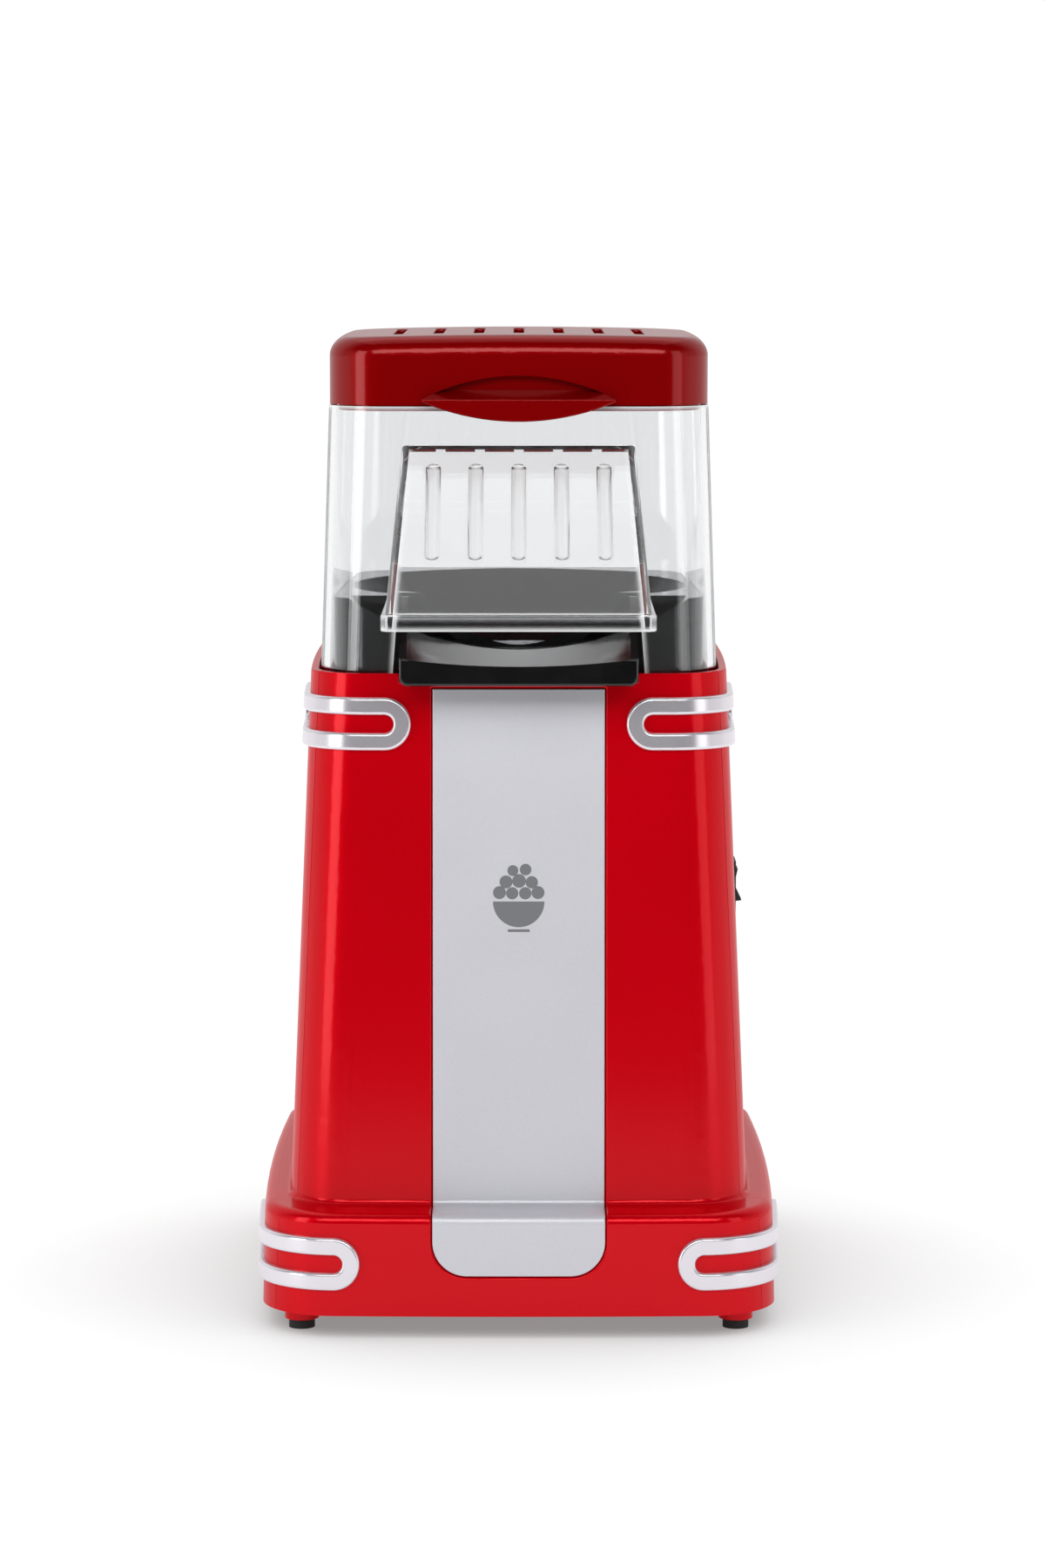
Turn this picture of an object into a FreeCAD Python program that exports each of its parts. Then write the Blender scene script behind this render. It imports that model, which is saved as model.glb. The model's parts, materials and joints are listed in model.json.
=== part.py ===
import FreeCAD, Part
import math
import os

from FreeCAD import Vector

# Hot-air popcorn maker, in millimetres. Everything is modelled round the tower's upright axis and
# then moved along Y, so that the origin ends up under the middle of the whole object's box.

# Base: low box with rounded corners, on four feet
BASE_HALF_X = 76.8
BASE_HALF_Y = 92.0
BASE_DRAFT = 0.8
BASE_CORNER = 22.0
BASE_FLOOR = 6.5
BASE_TOP = 36.5
BASE_TOP_ROUND = 3.0

# Tower: tapers from its foot on the base to its rim
FOOT_HALF_X = 68.5
FOOT_HALF_Y = 78.0
RIM_HALF_X = 61.8
RIM_HALF_Y = 67.0
TOWER_CORNER = 18.0
RIM_Z = 191.0
FOOT_ROUND = 1.5
EDGE_ROUND = 0.5

WALL = 2.2
BOW = 1500.0
FAR = 300.0
PLAY = 0.3
SEAM_GAP = 0.25

# Seam between front and rear housing, measured back from the front faces
SEAM_BASE_BACK = 10.0
SEAM_FOOT_BACK = 10.0
SEAM_RIM_BACK = 9.0
SEAM_TURN = 3.5
CLIP_LENGTH = 8.0
CLIP_THICK = 1.6
CLIP_WIDTH = 10.0
CLIP_HEIGHTS = (60.0, 105.0, 150.0)

# Silver strip let into the front
STRIP_HALF_X = 25.0
STRIP_THICK = 1.0
STRIP_GAP = 0.4
STRIP_TOP = 186.6
STRIP_BOTTOM = 18.3
STRIP_CORNER = 10.0
STRIP_EDGE = 0.35

# Silver loops round the front corners: bar height, heights, front end and length of the run back
TRIM_PROUD = 1.8
TRIM_BAR = 5.1
TRIM_EDGE = 0.9
UPPER_TRIM_Z = (168.8, 184.2)
UPPER_TRIM_END = 31.3
UPPER_TRIM_BACK = -14.0
BASE_TRIM_Z = (14.2, 29.6)
BASE_TRIM_END = 46.0
BASE_TRIM_BACK = -30.0

# Clear cover and its chute hood
COVER_HALF_X = (59.0, 56.3)
COVER_HALF_Y = (62.0, 59.5)
COVER_Z = (187.0, 268.0)
COVER_CORNER = 18.0
COVER_WALL = 2.4
HOOD_HALF_X = (37.6, 33.8)
HOOD_Z = (207.7, 256.8)
HOOD_LIP = 4.7
HOOD_REACH = 118.0
HOOD_WALL = 2.2
HOOD_LIP_PROUD = 0.9
HOOD_EDGE = 1.2
LIP_EDGE = 0.5
RIB_COUNT = 5
RIB_PITCH = 12.3
RIB_WIDTH = 4.3
RIB_DEPTH = 0.9
RIB_LENGTH = 42.0
RIB_START = 8.2

# Lid
LID_HALF_X = 56.0
LID_HALF_Y = 60.2
LID_Z = (268.4, 287.7)
LID_CORNER = 18.0
LID_ROUND = 5.6
LID_CROWN = 1.0
LID_WALL = 2.4
SPIGOT_DEPTH = 1.4
SPIGOT_WALL = 1.8
SPIGOT_PLAY = 0.5
VENT_COUNT = 7
VENT_PITCH = 12.0
VENT_WIDTH = 3.0
VENT_LENGTH = 68.0
GRIP_HALF_X = 28.0
GRIP_TOP = 277.0
GRIP_SHELF = (270.2, 273.0)
GRIP_TAB = (269.5, 263.8)
GRIP_DEPTH = 3.2
GRIP_PROUD = 5.0
GRIP_EDGE = 0.35
VENT_EDGE = 0.6

# Funnel with its tray
FUNNEL_TOP = 212.0
FUNNEL_PLAY = 0.7
FUNNEL_CORNER = 15.0
FUNNEL_WALL = 2.4
FUNNEL_LEDGE = 2.4
DISH_TOP_R = 52.4
TRAY_HALF_X = 34.3
TRAY_REACH = 84.0
TRAY_Z = (189.0, 194.6)
TRAY_WALL = 2.2
TRAY_EDGE = 2.5
TRAY_LIP_RISE = 2.1
TRAY_FRONT_EDGE = 0.8
CHUTE_FLOOR = 197.0
CHUTE_ARC = 88.0
CHUTE_BACK = 58.0
LIP_ARC = 290.0
LEDGE_WIDTH = 3.6
LEDGE_THICK = 2.4

# Popping chamber and heat shield
CHAMBER_TOP_R = 39.8
CHAMBER_FLOOR_R = 33.0
CHAMBER_FLOOR = 111.5
CHAMBER_CONE = 10.0
CHAMBER_SHOULDER = 3.0
CHAMBER_WALL = 1.0
CHAMBER_FLANGE_R = 46.5
LOUVRE_COUNT = 16
LOUVRE_Z = (116.0, 134.0)
LOUVRE_WIDTH = 2.2
LOUVRE_LEAN = 15.0
SHIELD_R = 44.0
SHIELD_WALL = 0.8
SHIELD_TOP = 190.2
SHEET = 0.8

# Fan housing and impeller
FAN_WALL = 2.0
FAN_FLOOR = 60.0
FAN_FLOOR_THICK = 2.4
FAN_TOP = 92.0
FAN_FLANGE_R = 53.0
FAN_FLANGE = 3.0
FAN_INTAKE_R = (17.0, 40.0)
FAN_ARM = 7.0
SHIELD_SCREW_R = 49.5
PILLAR_XY = 46.0
PILLAR_R = 4.5
PILLAR_BORE = 16.0
FAN_SCREW = 15.0
SHIELD_SCREW = 8.0
LUG_THICK = 3.0
BLADE_COUNT = 9
BLADE_R = 41.0
BLADE_THICK = 1.6
BLADE_CHORD = 15.0
BLADE_PITCH = 35.0
HUB_R = 8.0
HUB_Z = (65.2, 79.0)
NUT_R = 4.2
NUT_HEIGHT = 2.8

# Heater
BOARD_THICK = 0.8
BOARD_HALF = 40.0
BOARD_HEIGHT = 15.0
COIL_R = 2.2
COIL_TURNS = (16.0, 25.0, 34.0)
COIL_ABOVE = 8.4
ARM_WIDTH = 6.0

# Motor
MOTOR_R = 14.0
MOTOR_LENGTH = 30.0
MOTOR_CAN_WALL = 1.0
CAP_R = 13.8
CAP_DEPTH = 10.0
CAP_WALL = 1.6
MOTOR_SCREW_X = (-8.0, 8.0)
MOTOR_HEAD = (2.2, 1.4)
CAN_END = 1.4
BRUSH_FROM = 0.1
BRUSH_LENGTH = 6.4
BRUSH_HALF = 1.5
BRUSH_HEIGHT = 4.0
BRUSH_RISE = 6.0
TAB_X = (9.25, 9.75)
TAB_HALF = 1.4
TAB_PLAY = 0.05
SLOT_COUNT = 5
DIODE_R = 1.2
DIODE_HALF = 2.4
SHAFT_R = 1.58
SHAFT_Z = (19.0, 83.0)
RUNNING = 0.04
BUSH_R = 3.2
BUSH_LENGTH = 5.0
ARMATURE_R = 9.8
ARMATURE_Z = (35.0, 54.0)
MAGNET_R = (10.4, 12.8)
COMMUTATOR_R = 3.6
COMMUTATOR_Z = (26.0, 32.0)
BOARD_Z = (14.9, 16.5)

# Thermostat and thermal fuse on the heat shield
BRACKET_THICK = 1.2
BRACKET_HALF_X = 11.0
BRACKET_Z = (128.0, 162.0)
THERMOSTAT_Z = 150.0
THERMOSTAT_R = 8.0
THERMOSTAT_HEIGHT = 6.0
THERMOSTAT_CAP_R = 5.0
THERMOSTAT_CAP = 3.0
FUSE_Z = 134.0
FUSE_R = 2.0
FUSE_HALF = 8.0

# Screws
SCREW_R = 1.5
HEAD_R = 2.9
HEAD_HEIGHT = 1.8
BORE_PLAY = 0.05

# Feet
FOOT_X = 63.5
FOOT_Y = 76.0
FOOT_BOSS_R = 5.0
FOOT_BOSS_Z = 2.8
PAD_R = 3.8
PAD_SINK = 1.5
PLATE_THICK = 2.5
PLATE_PLAY = 0.4
GRILLE_R = 38.0
GRILLE_SLOT = 3.2
GRILLE_PITCH = 7.0
FRONT_BOSS = (40.0, -85.6)
REAR_BOSS = (55.0, 83.0)
BOSS_R = 3.4
BOSS_BORE = 17.0
HEAD_SINK = 1.4
BASE_SCREW = 14.0

# Switch in the right side
SWITCH_Z = 120.0
SWITCH_SEAT = 64.0
SWITCH_DEPTH = 12.0
SWITCH_HALF_Y = 5.0
SWITCH_HALF_Z = 6.8
SWITCH_WALL = 1.0
BEZEL = 2.2
BEZEL_LIP = 0.9
ROCKER_PLAY = 0.3
ROCKER_R = 5.5
ROCKER_VALLEY = 1.0
ROCKER_CREST = 2.7
ROCKER_TILT = 7.0
PIVOT_R = 0.9
PIVOT_BELOW_FACE = 1.4

# Side air slots low in the tower
SIDE_SLOT_Z = (51.3, 59.8)
SIDE_SLOT_COUNT = 9
SIDE_SLOT_PITCH = 6.0
SIDE_SLOT_WIDTH = 2.2

# Cord inlet at the rear
GLAND_Z = 50.0
GLAND_R = 6.4
GLAND_BORE = 3.5
GLAND_FLANGE_R = 9.0
GLAND_SEAT = 76.2
GLAND_FLANGE = 2.5
GLAND_SNOUT = 4.0

# Terminal block and wires
BLOCK_HALF_X = 14.0
BLOCK_Y = (54.0, 66.0)
BLOCK_HEIGHT = 11.0
BLOCK_PITCH = 9.0
BLOCK_SCREW_R = 1.9
WIRE_R = 1.1
WIRE_BEND = 3.5

AXIS_Y = (HOOD_REACH - BASE_HALF_Y) / 2


def outline(half_x, half_y, corner, z, offset=0.0):
    """Closed level outline: four slightly bowed sides with tangent round corners."""
    bow = BOW + offset
    half_x += offset
    half_y += offset
    reach = BOW - corner
    side_x = half_x - bow
    side_y = half_y - bow
    span = math.hypot(side_x, side_y)
    rise = math.sqrt(reach**2 - span**2 / 4) / span
    centre = Vector(side_x / 2 - side_y * rise, side_y / 2 - side_x * rise, 0)
    front = Vector(0, side_y, 0)
    right = Vector(side_x, 0, 0)
    on_front = front + (centre - front) * (bow / reach)
    on_right = right + (centre - right) * (bow / reach)
    diagonal = (on_front - centre) + (on_right - centre)
    middle = centre + diagonal.normalize() * (corner + offset)

    def at(point, sign_x, sign_y):
        return Vector(point.x * sign_x, point.y * sign_y, z)

    arcs = [
        (at(on_right, 1, -1), Vector(half_x, 0, z), at(on_right, 1, 1)),
        (at(on_right, 1, 1), at(middle, 1, 1), at(on_front, 1, 1)),
        (at(on_front, 1, 1), Vector(0, half_y, z), at(on_front, -1, 1)),
        (at(on_front, -1, 1), at(middle, -1, 1), at(on_right, -1, 1)),
        (at(on_right, -1, 1), Vector(-half_x, 0, z), at(on_right, -1, -1)),
        (at(on_right, -1, -1), at(middle, -1, -1), at(on_front, -1, -1)),
        (at(on_front, -1, -1), Vector(0, -half_y, z), at(on_front, 1, -1)),
        (at(on_front, 1, -1), at(middle, 1, -1), at(on_right, 1, -1)),
    ]
    return Part.Wire([Part.Arc(*arc).toShape() for arc in arcs])


def between(pair, span, z):
    """Value on the straight line from pair[0] at span[0] to pair[1] at span[1]."""
    return pair[0] + (pair[1] - pair[0]) * (z - span[0]) / (span[1] - span[0])


def tapered(pair_x, pair_y, corner, span, offset, z0, z1):
    """Solid with outline() sections whose half sizes run from pair[0] to pair[1] over span."""
    sections = []
    for z in (z0, z1):
        half_x = between(pair_x, span, z)
        half_y = between(pair_y, span, z)
        sections.append(outline(half_x, half_y, corner, z, offset))
    return Part.makeLoft(sections, True, True)


def tower_half_y(z):
    return between((FOOT_HALF_Y, RIM_HALF_Y), (BASE_TOP, RIM_Z), z)


def tower(offset, z0, z1):
    halves = (FOOT_HALF_X, RIM_HALF_X), (FOOT_HALF_Y, RIM_HALF_Y)
    return tapered(*halves, TOWER_CORNER, (BASE_TOP, RIM_Z), offset, z0, z1)


def base(offset, z0, z1):
    half_x = (BASE_HALF_X, BASE_HALF_X - BASE_DRAFT)
    half_y = (BASE_HALF_Y, BASE_HALF_Y - BASE_DRAFT)
    return tapered(half_x, half_y, BASE_CORNER, (BASE_FLOOR, BASE_TOP), offset, z0, z1)


def upright(half_x, half_y, corner, offset, z0, z1):
    """Straight-sided solid on an outline()."""
    face = Part.Face(outline(half_x, half_y, corner, z0, offset))
    return face.extrude(Vector(0, 0, z1 - z0))


def cover(offset, z0, z1):
    return tapered(COVER_HALF_X, COVER_HALF_Y, COVER_CORNER, COVER_Z, offset, z0, z1)


def box(x0, x1, y0, y1, z0, z1):
    return Part.makeBox(x1 - x0, y1 - y0, z1 - z0, Vector(x0, y0, z0))


def cylinder(radius, z0, z1, x=0.0, y=0.0):
    return Part.makeCylinder(radius, z1 - z0, Vector(x, y, z0))


def cylinder_x(radius, x0, x1, y, z):
    return Part.makeCylinder(radius, x1 - x0, Vector(x0, y, z), Vector(1, 0, 0))


def cylinder_y(radius, y0, y1, x, z):
    return Part.makeCylinder(radius, y1 - y0, Vector(x, y0, z), Vector(0, 1, 0))


def ring(outer, inner, z0, z1, x=0.0, y=0.0):
    return cylinder(outer, z0, z1, x, y).cut(cylinder(inner, z0 - 1, z1 + 1, x, y))


def prism_yz(points, x0, x1):
    corners = [Vector(x0, y, z) for y, z in points]
    return Part.Face(Part.makePolygon(corners + corners[:1])).extrude(Vector(x1 - x0, 0, 0))


def prism_xz(points, y0, y1):
    corners = [Vector(x, y0, z) for x, z in points]
    return Part.Face(Part.makePolygon(corners + corners[:1])).extrude(Vector(0, y1 - y0, 0))


def revolve(points):
    """Solid of revolution about the tower's axis from (radius, height) points."""
    corners = [Vector(radius, 0, z) for radius, z in points]
    face = Part.Face(Part.makePolygon(corners + corners[:1]))
    return face.revolve(Vector(0, 0, 0), Vector(0, 0, 1), 360)


def fuse(shapes):
    joined = shapes[0]
    for shape in shapes[1:]:
        joined = joined.fuse(shape)
    return joined.removeSplitter()


def group(shapes):
    return Part.makeCompound(shapes)


def turned(shape, angle, axis=Vector(0, 0, 1), centre=Vector(0, 0, 0)):
    copy = shape.copy()
    copy.rotate(centre, axis, angle)
    return copy


def mirrored(shape):
    return shape.mirror(Vector(0, 0, 0), Vector(1, 0, 0))


def eased(shape, radius, wanted):
    """Shape with the edges whose bounding box is wanted() rounded to radius."""
    return shape.makeFillet(radius, [edge for edge in shape.Edges if wanted(edge.BoundBox)])


def skin_edges(shape, core):
    """Edges where the skin of shape, which is what lies outside core, meets its other faces."""
    edges = []
    for face in shape.Faces:
        u0, u1, v0, v1 = face.ParameterRange
        if not core.isInside(face.valueAt((u0 + u1) / 2, (v0 + v1) / 2), 0.01, True):
            edges += face.Edges
    return [edge for edge in edges if sum(edge.isSame(other) for other in edges) == 1]


def four(x, y):
    return [(x, y), (-x, y), (x, -y), (-x, -y)]


def centred(count, pitch):
    return [(index - (count - 1) / 2) * pitch for index in range(count)]


def rounded_slot(length, width, z0, z1):
    """Slot cutter along Y with half-round ends, centred on the axis."""
    radius = width / 2
    straight = length / 2 - radius
    middle = box(-radius, radius, -straight, straight, z0, z1)
    ends = [cylinder(radius, z0, z1, 0, y) for y in (-straight, straight)]
    return fuse([middle] + ends)


def screw(x, y, seat, tip, up=1):
    """Pan-head screw: its head sits on seat and its shank runs to tip."""
    head_z = sorted((seat, seat + up * HEAD_HEIGHT))
    shank_z = sorted((seat, tip))
    return fuse([cylinder(HEAD_R, *head_z, x, y), cylinder(SCREW_R, *shank_z, x, y)])


def tube(points, radius, bend):
    """Round bar along straight runs joined by tangent arcs of radius bend."""
    edges = []
    start = points[0]
    for before, corner, after in zip(points, points[1:], points[2:]):
        back = (before - corner).normalize()
        ahead = (after - corner).normalize()
        half = back.getAngle(ahead) / 2
        reach = bend / math.tan(half)
        enter = corner + back * reach
        leave = corner + ahead * reach
        inward = (back + ahead).normalize()
        middle = corner + inward * (bend / math.sin(half) - bend)
        edges.append(Part.LineSegment(start, enter).toShape())
        edges.append(Part.Arc(enter, middle, leave).toShape())
        start = leave
    edges.append(Part.LineSegment(start, points[-1]).toShape())
    path = Part.Wire(edges)
    section = Part.Wire([Part.Circle(points[0], points[1] - points[0], radius).toShape()])
    return path.makePipeShell([section], True, False)


def save(node, shape):
    placed = shape.copy()
    placed.translate(Vector(0, AXIS_Y, 0))
    placed.exportStep(f"parts/{node}.step")


# Housings ---------------------------------------------------------------------------------------


def base_outer():
    """Base block with its top edge rounded."""
    block = base(0, BASE_FLOOR, BASE_TOP)
    return eased(block, BASE_TOP_ROUND, lambda bounds: bounds.ZMin > BASE_TOP - 0.01)


def housing_outer():
    """Outer form of base and tower with a small round where the tower stands on the base."""
    body = base_outer().fuse(tower(0, BASE_TOP - 1, RIM_Z)).removeSplitter()
    foot = []
    for edge in body.Edges:
        bounds = edge.BoundBox
        level = abs(bounds.ZMin - BASE_TOP) < 0.01 and abs(bounds.ZMax - BASE_TOP) < 0.01
        if level and bounds.XMax < FOOT_HALF_X + 1 and bounds.XMin > -FOOT_HALF_X - 1:
            if bounds.YMax < FOOT_HALF_Y + 1 and bounds.YMin > -FOOT_HALF_Y - 1:
                foot.append(edge)
    return body.makeFillet(FOOT_ROUND, foot)


def seam_front(shift):
    """Everything in front of the housing seam; shift moves the seam towards the rear."""
    base_y = -BASE_HALF_Y + SEAM_BASE_BACK + shift
    foot_y = -FOOT_HALF_Y + SEAM_FOOT_BACK + shift
    rim_y = -RIM_HALF_Y + SEAM_RIM_BACK + shift
    points = [
        (-FAR, BASE_FLOOR - 10),
        (base_y, BASE_FLOOR - 10),
        (base_y, BASE_TOP - SEAM_TURN),
        (foot_y, BASE_TOP),
        (rim_y, RIM_Z),
        (rim_y, RIM_Z + 10),
        (-FAR, RIM_Z + 10),
    ]
    return prism_yz(points, -FAR, FAR)


def strip_outline(gap):
    """Prism along Y with the front strip's outline, or its recess's outline when gap is larger."""
    half = STRIP_HALF_X + gap
    low = STRIP_BOTTOM - gap
    top = STRIP_TOP + gap
    corner = STRIP_CORNER + gap
    upright = box(-half, half, -FAR, 0, low + corner, top)
    floor = box(-half + corner, half - corner, -FAR, 0, low, low + corner + 1)
    middles = (corner - half, half - corner)
    rounds = [cylinder_y(corner, -FAR, 0, x, low + corner) for x in middles]
    return fuse([upright, floor] + rounds)


def strip_form(outer, gap, thick):
    """Skin of the housing, thick deep, inside strip_outline()."""
    inside = outer.copy()
    inside.translate(Vector(0, thick, -thick))
    return outer.common(strip_outline(gap)).cut(inside)


def housing_hollow():
    """Inside of the housings, with a ring left standing under the rim for the funnel's flange."""
    top = COVER_Z[0] - FUNNEL_LEDGE
    low = top - LEDGE_THICK
    hollow = base(-WALL, BASE_FLOOR - 1, BASE_TOP - WALL)
    hollow = hollow.fuse(tower(-WALL, BASE_TOP - WALL - 1, low))
    hollow = hollow.fuse(tower(-WALL - LEDGE_WIDTH, low - 1, top + 1))
    return hollow.fuse(tower(-WALL, top, RIM_Z + 1))


def plate_bosses(places, ceiling):
    """Screw bosses that stand on the bottom plate and reach the ledge above."""
    floor = BASE_FLOOR + PLATE_THICK
    bosses = []
    for x, y in places:
        bore = cylinder(SCREW_R + BORE_PLAY, floor - 1, floor + BOSS_BORE, x, y)
        bosses.append(cylinder(BOSS_R, floor, ceiling, x, y).cut(bore))
    return bosses


def clips():
    """Tongues on the front housing that reach behind the rear housing's edge."""
    seam = (SEAM_FOOT_BACK - FOOT_HALF_Y, SEAM_RIM_BACK - RIM_HALF_Y)
    half = CLIP_WIDTH / 2
    tongues = []
    for z in CLIP_HEIGHTS:
        seam_y = between(seam, (BASE_TOP, RIM_Z), z)
        reach = (z - CLIP_WIDTH, z + CLIP_WIDTH)
        inside = tower(-WALL - PLAY - CLIP_THICK, z - 2 * CLIP_WIDTH, z + 2 * CLIP_WIDTH)
        root = tower(-WALL + 0.5, *reach).cut(inside)
        blade = tower(-WALL - PLAY, *reach).cut(inside)
        for side in (-1, 1):
            near = sorted((side * 20, side * FAR))
            root_box = box(*near, seam_y - 5, seam_y - 1, z - half, z + half)
            blade_box = box(*near, seam_y - 3, seam_y + CLIP_LENGTH, z - half, z + half)
            tongues.append(root.common(root_box))
            tongues.append(blade.common(blade_box))
    return tongues


def switch_opening():
    body = box(
        SWITCH_SEAT - SWITCH_DEPTH,
        FAR,
        -SWITCH_HALF_Y - 0.1,
        SWITCH_HALF_Y + 0.1,
        SWITCH_Z - SWITCH_HALF_Z - 0.1,
        SWITCH_Z + SWITCH_HALF_Z + 0.1,
    )
    half_y = SWITCH_HALF_Y + BEZEL_LIP + 0.15
    half_z = SWITCH_HALF_Z + BEZEL_LIP + 0.15
    seat = box(SWITCH_SEAT, FAR, -half_y, half_y, SWITCH_Z - half_z, SWITCH_Z + half_z)
    return body.fuse(seat)


def side_slots():
    half = SIDE_SLOT_WIDTH / 2
    return [
        box(-FAR, FAR, y - half, y + half, *SIDE_SLOT_Z)
        for y in centred(SIDE_SLOT_COUNT, SIDE_SLOT_PITCH)
    ]


def tray_notch():
    """Notch in the front rim that the tray passes through."""
    half = TRAY_HALF_X + STRIP_GAP
    return box(-half, half, -FAR, 0, TRAY_Z[0] - STRIP_GAP, FAR)


def moved_in(outer, step):
    """Copy of the housings' outer form moved back and down by step."""
    core = outer.copy()
    core.translate(Vector(0, step, -step))
    return core


def front_edges(front, outer):
    """Outer edges of the front housing's rim, its notch and the recess for the strip."""
    half_x = STRIP_HALF_X + STRIP_GAP + 0.05
    notch_x = TRAY_HALF_X + 2 * STRIP_GAP
    wanted = []
    for edge in skin_edges(front, moved_in(outer, EDGE_ROUND)):
        bounds = edge.BoundBox
        in_recess = max(-bounds.XMin, bounds.XMax) < half_x and bounds.YMax < 0
        at_notch = max(-bounds.XMin, bounds.XMax) < notch_x and bounds.ZMin > TRAY_Z[0] - 1
        if in_recess or at_notch or bounds.ZMin > RIM_Z - 0.1:
            wanted.append(edge)
    return wanted


def rear_edges(rear):
    """Outer edge of the rear housing's rim."""
    inside = tower(-WALL / 2, RIM_Z - 5, RIM_Z + 5)
    wanted = []
    for edge in rear.Edges:
        middle = edge.valueAt((edge.FirstParameter + edge.LastParameter) / 2)
        if edge.BoundBox.ZMin > RIM_Z - 0.1 and not inside.isInside(middle, 0.01, True):
            wanted.append(edge)
    return wanted


def make_housings():
    outer = housing_outer()
    shell = outer.cut(housing_hollow()).cut(tray_notch())
    front = shell.common(seam_front(0))
    front = front.cut(strip_form(outer, STRIP_GAP, STRIP_THICK + 0.1))
    front = front.makeFillet(EDGE_ROUND, front_edges(front, outer))
    ceiling = BASE_TOP - WALL + 0.5
    front_places = [(x * FRONT_BOSS[0], FRONT_BOSS[1]) for x in (-1, 1)]
    rear_places = [(x * REAR_BOSS[0], REAR_BOSS[1]) for x in (-1, 1)]
    front = fuse([front] + plate_bosses(front_places, ceiling) + clips())
    rear = shell.cut(seam_front(SEAM_GAP))
    rear = rear.makeFillet(EDGE_ROUND, rear_edges(rear))
    gland_hole = cylinder_y(GLAND_R + 0.1, 0, FAR, 0, GLAND_Z)
    gland_seat = cylinder_y(GLAND_FLANGE_R + 0.3, GLAND_SEAT, FAR, 0, GLAND_Z)
    for cutter in [switch_opening(), gland_hole, gland_seat] + side_slots():
        rear = rear.cut(cutter)
    rear = fuse([rear] + plate_bosses(rear_places, ceiling))
    save("front_housing", front)
    save("rear_housing", rear)
    strip = strip_form(outer, 0, STRIP_THICK)
    edges = skin_edges(strip, moved_in(outer, STRIP_THICK / 3))
    save("front_strip", strip.makeFillet(STRIP_EDGE, edges))


def trim_loop(front_end, back_end, z0, z1, skin):
    """Loop of bar on the skin's right front corner, with round ends on the front and on the side."""

    def slab(end_x, end_y, low, high):
        radius = (high - low) / 2
        middle = (low + high) / 2
        along_x = box(end_x + radius, FAR, -FAR, FAR, low, high)
        along_x = along_x.fuse(cylinder_y(radius, -FAR, FAR, end_x + radius, middle))
        along_y = box(0, FAR, -FAR, end_y - radius, low, high)
        along_y = along_y.fuse(cylinder_x(radius, 0, FAR, end_y - radius, middle))
        return along_x.common(along_y)

    inner = slab(front_end + TRIM_BAR, back_end - TRIM_BAR, z0 + TRIM_BAR, z1 - TRIM_BAR)
    return skin.common(slab(front_end, back_end, z0, z1)).cut(inner)


def make_trims():
    low, high = UPPER_TRIM_Z
    upper_skin = tower(TRIM_PROUD, low - 2, high + 2).cut(tower(0, low - 3, high + 3))
    upper = trim_loop(UPPER_TRIM_END, UPPER_TRIM_BACK, low, high, upper_skin)
    edges = skin_edges(upper, tower(TRIM_PROUD / 2, low - 5, high + 5))
    upper = upper.makeFillet(TRIM_EDGE, edges)
    low, high = BASE_TRIM_Z
    base_skin = base(TRIM_PROUD, low - 2, high + 2).cut(base(0, low - 3, high + 3))
    lower = trim_loop(BASE_TRIM_END, BASE_TRIM_BACK, low, high, base_skin)
    edges = skin_edges(lower, base(TRIM_PROUD / 2, low - 5, high + 5))
    lower = lower.makeFillet(TRIM_EDGE, edges)
    for name, trim in (("upper_trim", upper), ("base_trim", lower)):
        save(f"{name}_right", trim)
        save(f"{name}_left", mirrored(trim))


# Bottom plate and feet --------------------------------------------------------------------------


def make_base_plate():
    top = BASE_FLOOR + PLATE_THICK
    plate = base(-WALL - PLATE_PLAY, BASE_FLOOR, top)
    feet = four(FOOT_X, FOOT_Y)
    pillar_places = four(PILLAR_XY, PILLAR_XY)
    bosses = [cylinder(FOOT_BOSS_R, FOOT_BOSS_Z, BASE_FLOOR + 1, x, y) for x, y in feet]
    pillars = [cylinder(PILLAR_R, top - 1, FAN_FLOOR, x, y) for x, y in pillar_places]
    plate = fuse([plate] + bosses + pillars)
    cutters = [
        cylinder(PAD_R + BORE_PLAY, FOOT_BOSS_Z - 1, FOOT_BOSS_Z + PAD_SINK, x, y) for x, y in feet
    ]
    cutters += [
        cylinder(SCREW_R + BORE_PLAY, FAN_FLOOR - PILLAR_BORE, FAN_FLOOR + 1, x, y)
        for x, y in pillar_places
    ]
    for x, y in base_screw_places():
        cutters.append(cylinder(SCREW_R + 0.3, BASE_FLOOR - 1, top + 1, x, y))
        cutters.append(cylinder(HEAD_R + 0.3, BASE_FLOOR - 1, BASE_FLOOR + HEAD_SINK, x, y))
    for x in centred(int(2 * GRILLE_R / GRILLE_PITCH), GRILLE_PITCH):
        half = math.sqrt(GRILLE_R**2 - x**2)
        slot = rounded_slot(2 * half, GRILLE_SLOT, BASE_FLOOR - 1, top + 1)
        slot.translate(Vector(x, 0, 0))
        cutters.append(slot)
    for cutter in cutters:
        plate = plate.cut(cutter)
    save("base_plate", plate)


def base_screw_places():
    places = [(x * FRONT_BOSS[0], FRONT_BOSS[1]) for x in (-1, 1)]
    return places + [(x * REAR_BOSS[0], REAR_BOSS[1]) for x in (-1, 1)]


def make_base_screws():
    seat = BASE_FLOOR + HEAD_SINK
    screws = [screw(x, y, seat, seat + BASE_SCREW, -1) for x, y in base_screw_places()]
    save("base_screws", group(screws))


def make_feet():
    for end, end_name in ((-1, "front"), (1, "rear")):
        for side, side_name in ((-1, "left"), (1, "right")):
            pad = cylinder(PAD_R, 0, FOOT_BOSS_Z + PAD_SINK, side * FOOT_X, end * FOOT_Y)
            save(f"foot_{end_name}_{side_name}", pad)


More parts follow.
